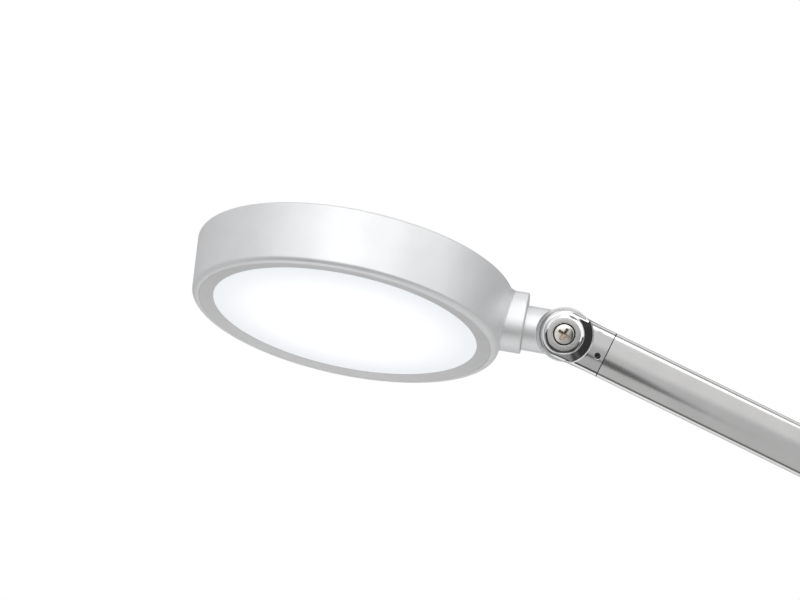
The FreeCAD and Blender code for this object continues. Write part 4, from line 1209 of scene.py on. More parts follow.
    def rear_cover(self) -> Piece:
        """Shallow dome with the button's hole: a spherical cap with its edges broken.

        Returns:
            The cover.
        """
        rim = self.rear_edge - self.bezel_lip - self.cover_gap
        hole, wall = self.button_radius + self.button_clearance, self.cover_wall
        radii = np.linspace(hole + self.cover_break, rim - self.cover_break, 40)
        top = np.column_stack([radii, self.dome_height(radii)])
        rim_height, hole_height = self.dome_height(rim), self.dome_height(hole)
        underside = np.linspace(rim - 2 * wall, hole, 12)
        profile = np.concatenate([
            [[hole, hole_height - wall], [hole, hole_height - 0.25], [hole + 0.1, hole_height - 0.06]], top,
            [[rim - 0.08, rim_height - 0.08], [rim, rim_height - self.cover_break]],
            [[rim, self.rear_height - wall]],
            np.column_stack([underside, self.dome_height(underside) - wall]),
        ])
        return Shell("domed_rear_cover", self.frame).add(turned_profile(profile, FINE)).make()

    def button(self) -> Piece:
        """Push button: rounded cap with a dish for the fingertip, whose depth falls as cosine squared.

        Returns:
            The button.
        """
        crown, cap = float(self.dome_height(np.array(0.0))), self.button_radius
        top, low = crown + self.button_proud, crown - self.cover_wall - self.button_play
        flange, step = cap + self.flange_width, low + self.flange_thickness
        stalk, bottom = self.plunger_radius, crown - self.plunger_length
        rings = np.linspace(0, cap - 1.0, 14)
        dish = np.column_stack([rings, top - self.button_dish * np.cos(rings / cap * math.pi / 2) ** 2])
        rim = rounded_outline(np.array([
            [cap - 0.8, top], [cap, top], [cap, step], [flange, step],
            [flange, low], [stalk, low], [stalk, bottom], [0.0, bottom],
        ]), np.array([0, self.button_rounding, 0, 0.1, 0.1, 0, 0.2, 0]), closed=False)
        patch = turned_profile(np.concatenate([dish, rim]), MEDIUM, closed=False)
        return Shell("push_button", self.frame).add(patch).make()

    def collar(self) -> Piece:
        """Collar: its outline carried along x, from the flat seat to the rounded face.

        Returns:
            The collar.
        """
        seat_edge = 1 - self.seat_edge / self.collar_height
        face, bevel = self.collar_face, self.collar_bevel
        inset = bevel / self.collar_height
        rounding = [
            self.loop(1 - inset * (1 - math.cos(a)), face - bevel * (1 - math.sin(a)))
            for a in np.radians(np.linspace(0, 90, 6))
        ]
        loops = [
            *(self.loop(share, self.seat_level) for share in (0.0, seat_edge)),
            self.loop(1.0, lambda height: self.seat_level(height) + self.seat_edge),
            self.loop(1.0, lambda height: self.seat_level(height) + 4 * self.seat_edge),
            self.loop(1.0, face - 2 * bevel), *rounding,
            *(self.loop(share, face) for share in (0.93, 0.4, 0.0)),
        ]
        patch = Patch(np.stack(loops, axis=1), closed_rows=True)
        return Shell("neck_collar", self.frame).add(patch).make()

    def cover_screws(self) -> Piece:
        """Four countersunk heads with a cross, each a height field over its own circle.

        Returns:
            The four heads as one piece.
        """
        shell = Shell("rear_cover_screws", self.frame)
        outer = np.array(self.screw_circle + self.screw_head.radius)
        height = float(self.dome_height(outer)) - self.screw_sink
        for turn in np.radians(self.screw_turns):
            centre = [self.screw_circle * math.cos(turn), self.screw_circle * math.sin(turn), height]
            shell.add(Patch(self.screw_head.patch().points + centre, closed_rows=True))
        return shell.make()

    def build(self, finishes: Finishes) -> None:
        """Makes and dresses the head's pieces.

        Args:
            finishes: the lamp's finishes.
        """
        fit(self.band(), Body.HEAD, finishes.satin, "head_housing")
        fit(self.bezel(), Body.HEAD, finishes.bezel, "head_bezel")
        fit(self.diffuser(), Body.HEAD, finishes.opal, "diffuser")
        fit(self.rear_cover(), Body.HEAD, finishes.rear_satin, "rear_cover")
        fit(self.collar(), Body.HEAD, finishes.satin, "head_collar")
        fit(self.cover_screws(), Body.HEAD, finishes.fastener, "cover_screws")
        fit(self.button(), Body.BUTTON, finishes.satin, "power_button")


# ---- arm section
@dataclass(frozen=True)
class ArmSection:
    """Flat-oval section of the arms: two crowned broad faces and two flat edges, joined by fillets.

    The broad face is an arc of radius (h² + c²) / 2c over half the height h with crown c.  Each flat edge
    has two points where a fork's slot opens.
    """

    height: float = 23.8
    depth: float = 18.0
    crown: float = 0.8
    edge_radius: float = 2.6

    @property
    def half_height(self) -> float:
        """Centre line to the flat edge."""
        return self.height / 2

    @property
    def bulge(self) -> float:
        """Radius of the broad face."""
        return (self.half_height**2 + self.crown**2) / (2 * self.crown)

    @property
    def fillet_centre(self) -> tuple[float, float]:
        """(y, z) of the fillet's centre, inside the face's arc by the edge radius."""
        z = self.half_height - self.edge_radius
        return math.sqrt((self.bulge - self.edge_radius) ** 2 - z**2) - (self.bulge - self.depth / 2), z

    @property
    def tilt(self) -> float:
        """Angle at which the broad face meets the fillet."""
        y, z = self.fillet_centre
        return math.atan2(z, y + self.bulge - self.depth / 2)

    def crown_heights(self, steps: int = 40) -> Array:
        """Heights z over the broad face, from its lower to its upper end."""
        return np.linspace(-1, 1, steps + 1) * self.bulge * math.sin(self.tilt)

    def fillet(self, steps: int = 10) -> Array:
        """(y, z) points of the upper front fillet, from the face's end to the flat edge, y outwards."""
        return arc_points(self.fillet_centre, self.edge_radius, math.degrees(self.tilt), 90, steps)

    def half_depth(self, z: Array) -> Array:
        """Half depth y at a height: the face's arc, then the fillet's arc.

        Args:
            z: heights.

        Returns:
            Half depths.
        """
        y, centre_z = self.fillet_centre
        size = np.abs(z)
        face = np.sqrt(self.bulge**2 - size**2) - (self.bulge - self.depth / 2)
        past = np.clip(size - centre_z, 0, self.edge_radius)
        fillet = y + np.sqrt(self.edge_radius**2 - past**2)
        return np.where(size <= self.bulge * math.sin(self.tilt), face, fillet)

    def around(self) -> Array:
        """The loop without the front face: from its upper end over the back to its lower end.

        Returns:
            (n, 2) points (y, z), the front face being at negative y.
        """
        fillet, z = self.fillet(), self.crown_heights()
        back = np.column_stack([self.half_depth(z), z])
        edge = [[-SLOT_HALF, self.half_height], [SLOT_HALF, self.half_height]]
        over = np.concatenate([fillet * [-1, 1], edge, fillet[::-1]])
        return np.concatenate([over, back[::-1][1:-1], over[::-1] * [1, -1]])

    def loop(self) -> Array:
        """The whole closed loop of (y, z) points."""
        z = self.crown_heights()[1:-1]
        return np.concatenate([self.around(), np.column_stack([-self.half_depth(z), z])])


@dataclass(frozen=True)
class SocketEnd:
    """Last stretch of a knuckle: the arm's full section with the set screw's hole in its front face."""

    start: float
    end: float
    section: ArmSection = ArmSection()
    hole_inset: float = 3.6
    hole_drop: float = 2.4
    hole_radius: float = 1.55
    hole_depth: float = 2.4
    hole_break: float = 0.12
    edge_break: float = 0.14
    capped_start: bool = False

    @property
    def stations(self) -> Array:
        """Distances along x of the loops."""
        return np.linspace(self.start, self.end - self.edge_break, 8)

    def front_face(self) -> Patch:
        """Front face on straight lines from the hole's centre to the points of the face's border.

        Returns:
            The face with its hole.
        """
        z, x = self.section.crown_heights(), self.stations
        border = np.concatenate([
            np.column_stack([np.full_like(z, x[0]), z]),
            np.column_stack([x[1:-1], np.full(len(x) - 2, z[-1])]),
            np.column_stack([np.full_like(z, x[-1]), z[::-1]]),
            np.column_stack([x[1:-1][::-1], np.full(len(x) - 2, z[0])]),
        ])
        centre = np.array([self.end - self.hole_inset, -self.hole_drop])
        away = border - centre
        reach = np.linalg.norm(away, axis=1, keepdims=True)
        r, b = self.hole_radius, self.hole_break
        rims = np.array([0.0, r, r, r, r + b * 0.3, r + b, r + 2 * b])
        drops = np.array([self.hole_depth, self.hole_depth, b * 2, b, b * 0.3, 0.0, 0.0])
        share = np.linspace(0, 1, 12)[1:]
        near = np.broadcast_to(rims, (len(border), len(rims)))
        radii = np.concatenate([near, rims[-1] + share * (reach - rims[-1])], axis=1)
        drop = np.broadcast_to(np.concatenate([drops, np.zeros(len(share))]), radii.shape)
        place = centre + radii[..., None] * (away / reach)[:, None, :]
        depth = self.section.half_depth(place[..., 1]) - drop
        return Patch(np.stack([place[..., 0], -depth, place[..., 1]], axis=2), closed_rows=True)

    def patches(self) -> list[Patch]:
        """Front face, the other three sides, and the closed end with its edge broken.

        Returns:
            Patches that weld into one skin.
        """
        around, loop = self.section.around(), self.section.loop()
        x = self.stations[:, None]
        sides = np.stack([x + 0 * around[:, 0], 0 * x + around[:, 0], 0 * x + around[:, 1]], axis=2)
        shrink = 1 - self.edge_break / np.linalg.norm(loop, axis=1, keepdims=True)

        def ring(reach: float, share: Array | float) -> Array:
            """The whole loop at a distance along x, shrunk by a share."""
            return np.column_stack([np.full(len(loop), reach), loop * share])

        end = [ring(self.end - self.edge_break, 1.0), ring(self.end, shrink), ring(self.end, 0.0)]
        made = [self.front_face(), Patch(sides), Patch(np.stack(end), closed_columns=True)]
        if self.capped_start:
            start = [ring(self.start, 1.0), ring(self.start - self.edge_break, shrink), ring(self.start, 0.0)]
            made.append(Patch(np.stack(start), closed_columns=True))
        return made


# ---- knuckles
OPEN = 99.0   # a height in millimetres over everything else


@dataclass
class Clevis:
    """Chrome fork: two cheeks about the hinge, each a round boss in a scooped valley, and the arm's socket.

    Every cheek is a height over the hinge's plane, sampled on rays from the hinge to its outline.
    """

    name: str
    frame: Frame
    slot_radius: float = 14.2
    section: ArmSection = ArmSection()
    web: float = 2.8
    socket: float = 6.2
    cheek_radius: float = 12.5
    cheek_rounding: float = 1.8
    root_radius: float = 13.0
    root_blend: float = 1.0
    slot_half: float = SLOT_HALF
    valley_level: float = 7.0
    valley_fall: float = 0.158
    valley_radius: float = 14.35
    sweep: float = 0.45
    sweep_height: float = 3.6
    boss_radius: float = 8.3
    boss_level: float = 8.8
    boss_chamfer: float = 1.5
    boss_fall: float = 0.6
    boss_foot: float = 10.1
    draft: float = 0.0175
    draft_reach: float = 8.7
    hole_radius: float = 2.6
    counterbore_radius: float = 5.6
    counterbore_level: float = 6.2
    counterbore_bevel: float = 0.35
    pocket_level: float = 5.6
    pocket_flats: float = 8.2
    pocket_bevel: float = 0.2

    @property
    def reach(self) -> float:
        """Hinge to the end of the cheek plates, where the full section begins."""
        return self.slot_radius + self.web

    @property
    def corner(self) -> float:
        """Angle of the cheek plate's far corner, seen from the hinge."""
        return math.atan2(self.section.half_height, self.reach)

    @property
    def lean(self) -> float:
        """Angle at which the plate's straight edge touches the cheek's circle."""
        return self.corner + math.acos(self.cheek_radius / math.hypot(self.reach, self.section.half_height))

    @property
    def root(self) -> float:
        """Angle at which the section's flat edge meets the root's circle."""
        return math.asin(min(1.0, self.section.half_height / self.root_radius))

    def outline_radius(self, angle: Array) -> Array:
        """Hinge to outline: a circle, its tangent r = cheek / cos(lean - a), the end r = reach / cos a.

        Args:
            angle: the rays.

        Returns:
            Radii.
        """
        size = np.abs(angle)
        tangent = self.cheek_radius / np.cos(np.clip(self.lean - size, 0, None))
        return np.where(size < self.corner, self.reach / np.cos(np.minimum(size, self.corner)), tangent)

    def rays(self) -> Array:
        """Angles of all rays, closer where the outline changes and at the section's own heights.

        Returns:
            Angles, those above the hinge first.
        """
        fillet = self.section.fillet()[1:, 1]
        heights = np.concatenate([self.section.crown_heights(), fillet])
        ends = np.arctan2(heights[heights >= 0], self.reach)
        sides = np.linspace(self.corner, self.lean, 40)[1:]
        about_root = np.radians([-6, -4, -3, -2, -1.3, -0.7, -0.3, -0.1, 0.1, 0.4, 1, 2, 3])
        extra = [self.slot_exit, *(self.root + about_root)]
        back = np.linspace(self.lean, math.pi, 70)[1:]
        half = np.unique(np.concatenate([ends, sides, [a for a in extra if self.corner < a], back]))
        return both_sides(half)

    @property
    def slot_exit(self) -> float:
        """Angle at which the slot's round floor leaves the outline."""
        return self.lean - math.acos(min(1.0, self.cheek_radius / self.slot_radius))

    def valley(self, radius: Array | float) -> Array:
        """Height of the shallow cone round the boss: it falls evenly from the boss' foot."""
        out = np.minimum(radius, self.valley_radius) - self.boss_foot
        return self.valley_level - self.valley_fall * out

    def sweep_level(self, radius: Array) -> Array:
        """Height of the scooped valley: the cone, then a concave quarter ellipse, then open.

        Args:
            radius: distance from the hinge.

        Returns:
            Heights.
        """
        past = np.clip((radius - self.valley_radius) / self.sweep, 0, 1)
        arc = self.valley(radius) + self.sweep_height * (1 - np.sqrt(1 - past**2))
        return np.where(radius < self.valley_radius + self.sweep, arc, OPEN)

    def cheek_level(self, radius: Array, angle: Array) -> Array:
        """Height of a cheek outside its boss: the rounded plate or the scooped section, if it is higher.

        Args:
            radius: distance from the hinge.
            angle: the rays.

        Returns:
            Heights.
        """
        lean = np.clip(self.lean - np.abs(angle), 0, None)
        inside = np.clip(self.cheek_radius - radius * np.cos(lean), 0, None)
        past = np.clip(self.cheek_rounding - inside, 0, None)
        plate = self.valley(radius) - self.cheek_rounding + np.sqrt(self.cheek_rounding**2 - past**2)
        z = radius * np.sin(angle)
        full = np.minimum(self.section.half_depth(z), self.sweep_level(radius))
        has_section = (np.abs(z) <= self.section.half_height + 1e-6) & (np.cos(angle) > 0)
        share = np.clip((radius - self.root_radius) / self.root_blend, 0, 1)
        share = np.where(has_section, share * share * (3 - 2 * share), 0.0)
        return plate + share * np.clip(full - plate, 0, None)

    def crest(self, angle: Array, edge: Array) -> Array:
        """Radius at which the sweep reaches the arm's face on each ray, found by repeated substitution.

        Args:
            angle: the rays.
            edge: their outline.

        Returns:
            Radii.
        """
        radius = np.full_like(angle, self.root_radius)
        for _ in range(30):
            depth = self.section.half_depth(radius * np.sin(angle))
            gap = 1 + (self.valley(self.valley_radius) - depth) / self.sweep_height
            reached = self.valley_radius + self.sweep * np.sqrt(np.clip(1 - gap**2, 0, None))
            radius = (radius + reached) / 2
        return np.minimum(np.clip(radius, self.root_radius + HAIR, None), edge - HAIR)

    def outer_radii(self, angle: Array) -> Array:
        """Samples outside the boss: the plate's flat and rounding, or the bend, the sweep and the face.

        Args:
            angle: the rays.

        Returns:
            Radii, shape (rays, samples).
        """
        edge = self.outline_radius(angle)
        lean = np.cos(np.clip(self.lean - np.abs(angle), 0, None))
        on_section = np.abs(angle) < self.root
        crest = self.crest(angle, edge)
        foot, start = self.boss_foot, self.root_radius + HAIR / 2
        plate_end = np.minimum(edge - self.cheek_rounding / lean, self.root_radius - HAIR)
        flat_end = np.maximum(plate_end, foot + 0.05)
        flat = foot + (flat_end - foot)[:, None] * np.array([0.15, 0.5, 0.9, 1.0])
        bend = flat_end[:, None] + (start - flat_end)[:, None] * np.linspace(0, 1, 6)[1:]
        share = np.clip((self.valley_radius - start) / (crest - start), 0, 0.7)[:, None]
        arc_share = np.sin(np.linspace(0, math.pi / 2, 9)[1:])
        steps = np.concatenate([share * np.linspace(0, 1, 6)[1:], share + (1 - share) * arc_share], axis=1)
        rise = start + (crest - start - 0.05)[:, None] * steps
        outward = np.sin(np.linspace(0, math.pi / 2, 22))
        face = crest[:, None] + 0.05 + (edge - crest - 0.05)[:, None] * outward
        section = np.concatenate([bend, rise, face], axis=1)
        arc = np.sin(np.linspace(0, math.pi / 2, section.shape[1] + 1)[1:])
        rounding = flat_end[:, None] + (edge - flat_end)[:, None] * arc
        outer = np.where(on_section[:, None], section, rounding)
        return np.concatenate([flat, np.minimum(outer, edge[:, None])], axis=1)

    def bore(self, angle: Array, front: bool) -> Array:
        """Hole, screw seat and boss on each ray.

        Args:
            angle: the rays.
            front: a round counterbore on the front, a hexagon pocket on the back.

        Returns:
            Radii and heights, (2, rays, rings), from the slot's face to the boss' foot.
        """
        wall = self.counterbore_radius if front else hexagon_radius(angle, self.pocket_flats)
        level = self.counterbore_level if front else self.pocket_level
        bevel = self.counterbore_bevel if front else self.pocket_bevel
        hole, flat, edge = self.hole_radius, self.boss_radius, self.boss_radius + self.boss_chamfer
        top, fallen, foot = self.boss_level, self.boss_level - self.boss_fall, self.boss_foot
        slope = self.boss_fall / self.boss_chamfer
        return ring_grid(angle, [
            (hole, self.slot_half), (hole, level), (hole + 0.1, level), (wall - 0.1, level), (wall, level),
            (wall, level + 0.1), (wall, top - bevel), (wall + bevel, top), (wall + bevel + 0.1, top),
            (flat - 0.06, top), (flat + 0.06, top - 0.06 * slope), (edge - 0.1, fallen + 0.1 * slope),
            (edge, fallen - 0.03), (edge + 0.1, fallen - 0.2),
            (foot - 0.12, self.valley_level + 0.12), (foot, self.valley_level),
        ])

    def patches(self) -> list[Patch]:
        """Both cheeks, the slot between them, the web and the socket end.

        Returns:
            Patches that weld into one skin.
        """
        angle = self.rays()
        edge = self.outline_radius(angle)
        outer = self.outer_radii(angle)
        level = self.cheek_level(outer, angle[:, None])
        wall = np.abs(angle) >= self.corner - 1e-9
        in_slot = np.abs(angle) <= self.slot_exit + 1e-9
        made: list[Patch] = []
        for side, front in ((-1.0, True), (1.0, False)):
            radii, heights = self.bore(angle, front)
            r = np.concatenate([radii, outer], axis=1)
            h = np.concatenate([heights, level], axis=1)
            made.append(on_rays(r, h * side, angle, rows=True))
            ends = np.stack([outer[:, -1], edge], axis=1)
            drop = np.stack([level[:, -1], np.full_like(edge, self.slot_half)], axis=1) * side
            order = np.argsort(np.mod(angle, 2 * math.pi))
            walls = order[wall[order]]
            made.append(on_rays(ends[walls], drop[walls], angle[walls], rows=False))
            inner_edge = np.where(in_slot, np.minimum(self.slot_radius, edge), edge)
            inner = self.hole_radius + (inner_edge - self.hole_radius)[:, None] * np.linspace(0, 1, 5)
            made.append(on_rays(inner, np.full_like(inner, self.slot_half * side), angle, rows=True))
        levels = np.array([-self.slot_half, self.slot_half])
        floor = np.sort(angle[in_slot])
        circle = np.full((len(floor), 2), self.slot_radius)
        made.append(on_rays(circle, np.broadcast_to(levels, circle.shape), floor, rows=False))
        for sign in (1.0, -1.0):
            web = np.sort(angle[wall & in_slot & (sign * angle > 0)])
            rim = np.repeat(self.outline_radius(web)[:, None], 2, axis=1)
            made.append(on_rays(rim, np.broadcast_to(levels, rim.shape), web, rows=False))
        end = SocketEnd(self.reach, self.reach + self.socket, self.section)
        return [self.drafted(patch) for patch in made + end.patches()]

    def drafted(self, patch: Patch) -> Patch:
        """Thickens towards the hinge: y times 1 + draft · (distance from the seam) / half depth.

        Args:
            patch: a patch of the fork.

        Returns:
            The same patch, thickened.
        """
        seam = self.reach + self.socket
        inward = seam - np.maximum(patch.points[..., 0], seam - self.draft_reach)
        patch.points[..., 1] *= 1 + self.draft * inward / (self.section.depth / 2)
        return patch

    def build(self, body: Body, finish: Finish, node: str) -> None:
        """Makes the fork as one skin and fits it in place of its CAD node."""
        fork = Shell(self.name, self.frame, sharp_angle=CHROME_CREASE).add(*self.patches()).make()
        fit(fork, body, finish, node)


@dataclass
class Tongue:
    """Tongue between the cheeks: a disc about the hinge that flares into its stem, with a grooved rim."""

    half_width: float
    reach: float
    radius: float = 13.7
    thickness: float = 7.6
    chamfer: float = 0.5
    flare: float = 8.0
    hole_radius: float = 2.55
    groove_floor: float = 10.1
    groove_half: float = 1.8
    groove_reach: float = 14.7

    @property
    def flare_centre(self) -> tuple[float, float]:
        """Centre of the upper flare's arc."""
        z = self.half_width + self.flare
        return math.sqrt((self.radius + self.flare) ** 2 - z**2), z

    def outline_radius(self, angle: Array) -> Array:
        """Hinge to outline: the disc, the near side of the flare's circle, the stem's edge and its end.

        Args:
            angle: the rays.

        Returns:
            Radii.
        """
        size = np.abs(angle)
        x, z = self.flare_centre
        touch, flare_end = math.atan2(z, x), math.atan2(self.half_width, x)
        corner = math.atan2(self.half_width, self.reach)
        along = x * np.cos(size) + z * np.sin(size)
        inside = np.clip(along**2 - (x**2 + z**2 - self.flare**2), 0, None)
        flare = along - np.sqrt(inside)
        stem = self.half_width / np.sin(np.clip(size, corner, flare_end))
        end = self.reach / np.cos(np.clip(size, 0, corner))
        return np.select([size >= touch, size >= flare_end, size >= corner], [self.radius, flare, stem], end)

    def patch(self) -> Patch:
        """Every ray's profile runs over one face, round the rim with its chamfers and groove, and back.

        Returns:
            One closed grid.
        """
        x, z = self.flare_centre
        marks = [math.atan2(self.half_width, self.reach), math.atan2(self.half_width, x), math.atan2(z, x)]
        half = np.unique(np.concatenate([
            np.linspace(0, marks[0], 12), np.linspace(marks[0], marks[1], 14),
            np.linspace(marks[1], marks[2], 22), np.linspace(marks[2], math.pi, 64),
        ]))
        angle = both_sides(half)
        edge = self.outline_radius(angle)
        grooved = np.where(edge <= self.groove_reach, self.groove_floor, edge - 0.01)
        face, c, g, hole = self.thickness / 2, self.chamfer, self.groove_half, self.hole_radius
        rings = [
            (hole, face), (hole + 0.1, face), ((hole + edge) / 2, face), (edge - c - 0.12, face),
            (edge - c, face), (edge - 0.12 * c, face - 0.9 * c), (edge, face - c - 0.06),
            (edge, face - c - 0.2), (edge, g + 0.1), (edge - 0.08, g), (grooved, g),
        ]
        rings += [(radius, -level) for radius, level in rings[::-1]]
        return rings_on(angle, rings, columns=True)


@dataclass
class Neck:
    """Neck of the head: round behind a tongue and cut back round its rim, along x of the hinge's frame."""

    frame: Frame
    name: str = "satin_neck"
    body: Body = Body.NECK
    node: str = "head_neck"
    reach: float = 20.2
    radius: float = 11.25
    tongue_half: float = 3.8
    step_radius: float = 14.0
    step_width: float = 10.6
    core_start: float = 6.0
    core_step: float = 7.4
    edge_break: float = 0.15

    @property
    def tongue(self) -> Tongue:
        """The tongue, as wide as the neck's own flats."""
        return Tongue(math.sqrt(self.radius**2 - self.tongue_half**2), self.reach - 0.5)

    def round_part(self) -> Patch:
        """Cylinder about x; beyond the tongue's faces it starts on the step x = √(step² - z²).

        Returns:
            The cylinder.
        """
        flat = math.acos(self.tongue_half / self.radius)
        quarter = np.unique(np.concatenate([
            np.linspace(0, flat - 0.002, 30), [flat + 0.002], np.linspace(flat + 0.01, math.pi / 2, 9),
        ]))
        half = np.concatenate([quarter, math.pi - quarter[:-1][::-1]])
        angle = both_sides(half)
        y, z = self.radius * np.cos(angle), self.radius * np.sin(angle)
        beside = np.abs(y) > self.tongue_half
        step = np.sqrt(self.step_radius**2 - np.minimum(np.abs(z), self.step_width) ** 2)
        start = np.where(beside, step, self.core_step)
        inner = np.sign(y) * np.minimum(np.abs(y), self.tongue_half - 0.2)
        b, r = self.edge_break, self.radius

        def ring(x: Array | float, share: float) -> Array:
            """The circle shrunk by a share, at a distance along x."""
            return np.column_stack([x + 0 * y, y * share, z * share])

        rings = [
            np.column_stack([self.core_start + 0 * y, 0 * y, z * 0.8]),
            np.column_stack([start, inner, z * (1 - b / r)]),
            ring(start, 1 - b / r), ring(start + b, 1.0), ring(start + 2 * b, 1.0),
            ring(self.reach - 2 * b, 1.0), ring(self.reach - b, 1.0), ring(self.reach, 1 - b / r),
            ring(self.reach, 0.5), ring(self.reach, 0.0),
        ]
        return Patch(np.stack(rings, axis=1), closed_rows=True)

    def patches(self) -> list[Patch]:
        """The tongue and the round part."""
        return [self.tongue.patch(), self.round_part()]

    def build(self, finishes: Finishes) -> None:
        """Makes the neck as one piece and fits it in place of its CAD node."""
        neck = Shell(self.name, self.frame, sharp_angle=CHROME_CREASE).add(*self.patches()).make()
        fit(neck, self.body, finishes.satin, self.node)


@dataclass
class Stem(Neck):
    """Stem of the base: a longer neck that stands on a flange."""

    name: str = "satin_stem"
    body: Body = Body.STEM
    node: str = "base_stem"
    reach: float = 44.4
    flange_radius: float = 20.0
    flange_thickness: float = 3.5
    flange_rounding: float = 1.5
    flange_fillet: float = 1.2

    def flange(self) -> Patch:
        """Foot flange: a disc with a rounded upper edge and a small fillet against the neck.

        Returns:
            The disc.
        """
        top, bend = self.reach - self.flange_thickness, self.flange_fillet
        fillet = arc_points((self.radius + bend, top - bend), bend, 180, 90, 8)
        rim = rounded_outline(np.array([
            [self.radius + 2, top], [self.flange_radius, top],
            [self.flange_radius, self.reach], [0.0, self.reach],
        ]), np.array([0, self.flange_rounding, 0.2, 0]), closed=False)
        profile = np.concatenate([[[0.0, top - bend], [self.radius - 0.3, top - bend - 0.1]], fillet, rim])
        return turned_profile(profile, 2 * MEDIUM, Turn.ABOUT_X, closed=False)

    def patches(self) -> list[Patch]:
        """The neck's patches and the flange."""
        return [*super().patches(), self.flange()]


@dataclass
class ElbowTongue:
    """Chrome tongue that closes the upper arm at the elbow, with the arm's socket behind it."""

    frame: Frame
    cap_start: float = 27.5
    length: float = LONG_SEAM
    half_width: float = 10.9

    def make(self) -> Piece:
        """The tongue and its cap as one object.

        Returns:
            The piece.
        """
        tongue = Tongue(self.half_width, self.cap_start + 1.0)
        cap = SocketEnd(self.cap_start, self.length, capped_start=True)
        shell = Shell("elbow_chrome_tongue", self.frame, sharp_angle=CHROME_CREASE)
        return shell.add(tongue.patch(), *cap.patches()).make()


@dataclass
class HingeSet:
    """Fasteners of one knuckle hinge, in the hinge's frame: cross-head screw and hexagon nut."""

    name: str
    frame: Frame
    head: CrossHead = CrossHead(5.0, depth=2.4, dome=0.35, span=6.5, width=1.4, recess=2.0, turn=-10.0)
    head_face: float = 8.6
    shank_radius: float = 2.5
    shank_end: float = 8.8
    nut_flats: float = 8.0
    nut_start: float = 6.1
    nut_end: float = 8.8
    nut_chamfer: float = 30.0
    nut_play: float = 0.02
    nut_bevel: float = 0.25

    def screw(self) -> Piece:
        """Raised cross-recessed head on the front and a threadless shank through to the nut.

        Returns:
            The screw.
        """
        head = self.head.patch(60, 220).points
        turned = np.stack([head[..., 0], -self.head_face - head[..., 2], head[..., 1]], axis=2)
        r, low, high = self.shank_radius, -self.head_face + self.head.depth - 0.3, self.shank_end
        corners = np.array([[0.0, low], [r, low], [r, high], [0.0, high]])
        profile = rounded_outline(corners, np.array([0, 0, 0.3, 0]), closed=False)
        shank = turned_profile(profile, COARSE, Turn.ABOUT_Y, closed=False)
        shell = Shell(f"{self.name}_cross_screw", self.frame).add(Patch(turned, closed_rows=True), shank)
        return shell.make()

    def nut(self) -> Piece:
        """Hexagon nut; its corners are turned down by (corner - flat)·tan(chamfer).

        Returns:
            The nut.
        """
        angle = np.unique(np.concatenate([full_turn(MEDIUM), np.radians(np.arange(30, 360, 60))]))
        flat, bore = self.nut_flats / 2, self.shank_radius + self.nut_play
        corner = hexagon_radius(angle, self.nut_flats)
        fall = (corner - flat) * math.tan(math.radians(self.nut_chamfer))
        low, high, bevel = self.nut_start, self.nut_end, self.nut_bevel
        rings = [
            (bore, low), (bore, high - bevel), (bore + bevel, high), (flat - 0.1, high),
            (flat, high), (corner, high - fall - HAIR), (corner, low), (flat, low),
        ]
        shell = Shell(f"{self.name}_hexagon_nut", self.frame, sharp_angle=NUT_CREASE)
        return shell.add(rings_on(angle, rings, columns=True)).make()

    def build(self, body: Body, finishes: Finishes) -> None:
        """Makes the screw and the nut and fits them in place of their CAD nodes."""
        fit(self.screw(), body, finishes.nickel, f"{self.name}_screw")
        fit(self.nut(), body, finishes.fastener, f"{self.name}_nut")


@dataclass
class SetScrews:
    """Two headless screws of one arm, each with a hexagon socket, in the front faces of its knuckles."""

    name: str
    frame: Frame
    near_seam: float
    far_seam: float
    length: float = ARM_LENGTH
    radius: float = 1.5
    inset: float = 3.6
    drop: float = 2.4
    face: float = 8.4
    depth: float = 3.0
    key: float = 0.75
    key_depth: float = 1.4
    bevel: float = 0.25

    def one(self, x: float, z: float) -> Patch:
        """A screw at a place: rim bevel, flat face and a hexagon socket with a round floor.

        Args:
            x: its place along the arm.
            z: its height.

        Returns:
            The screw.
        """
        angle = full_turn(SMALL)
        socket = self.key / np.cos(np.mod(angle, math.pi / 3) - math.pi / 6)
        floor, bevel = self.key_depth, self.bevel
        rings = [
            (0.0, floor + 0.2), (socket * 0.6, floor + 0.05), (socket, floor), (socket, 0.08),
            (socket + 0.08, 0.0), (self.radius - bevel, 0.0),
            (self.radius, bevel), (self.radius, self.depth), (0.0, self.depth),
        ]
        return Patch(rings_on(angle, rings).points + [x, -self.face, z], closed_rows=True)

    def make(self) -> Piece:
        """Both screws; the far one is turned with its knuckle.

        Returns:
            The pair.
        """
        near, far = self.near_seam - self.inset, self.length - self.far_seam + self.inset
        shell = Shell(self.name, self.frame, sharp_angle=SCREW_CREASE)
        return shell.add(self.one(near, -self.drop), self.one(far, self.drop)).make()


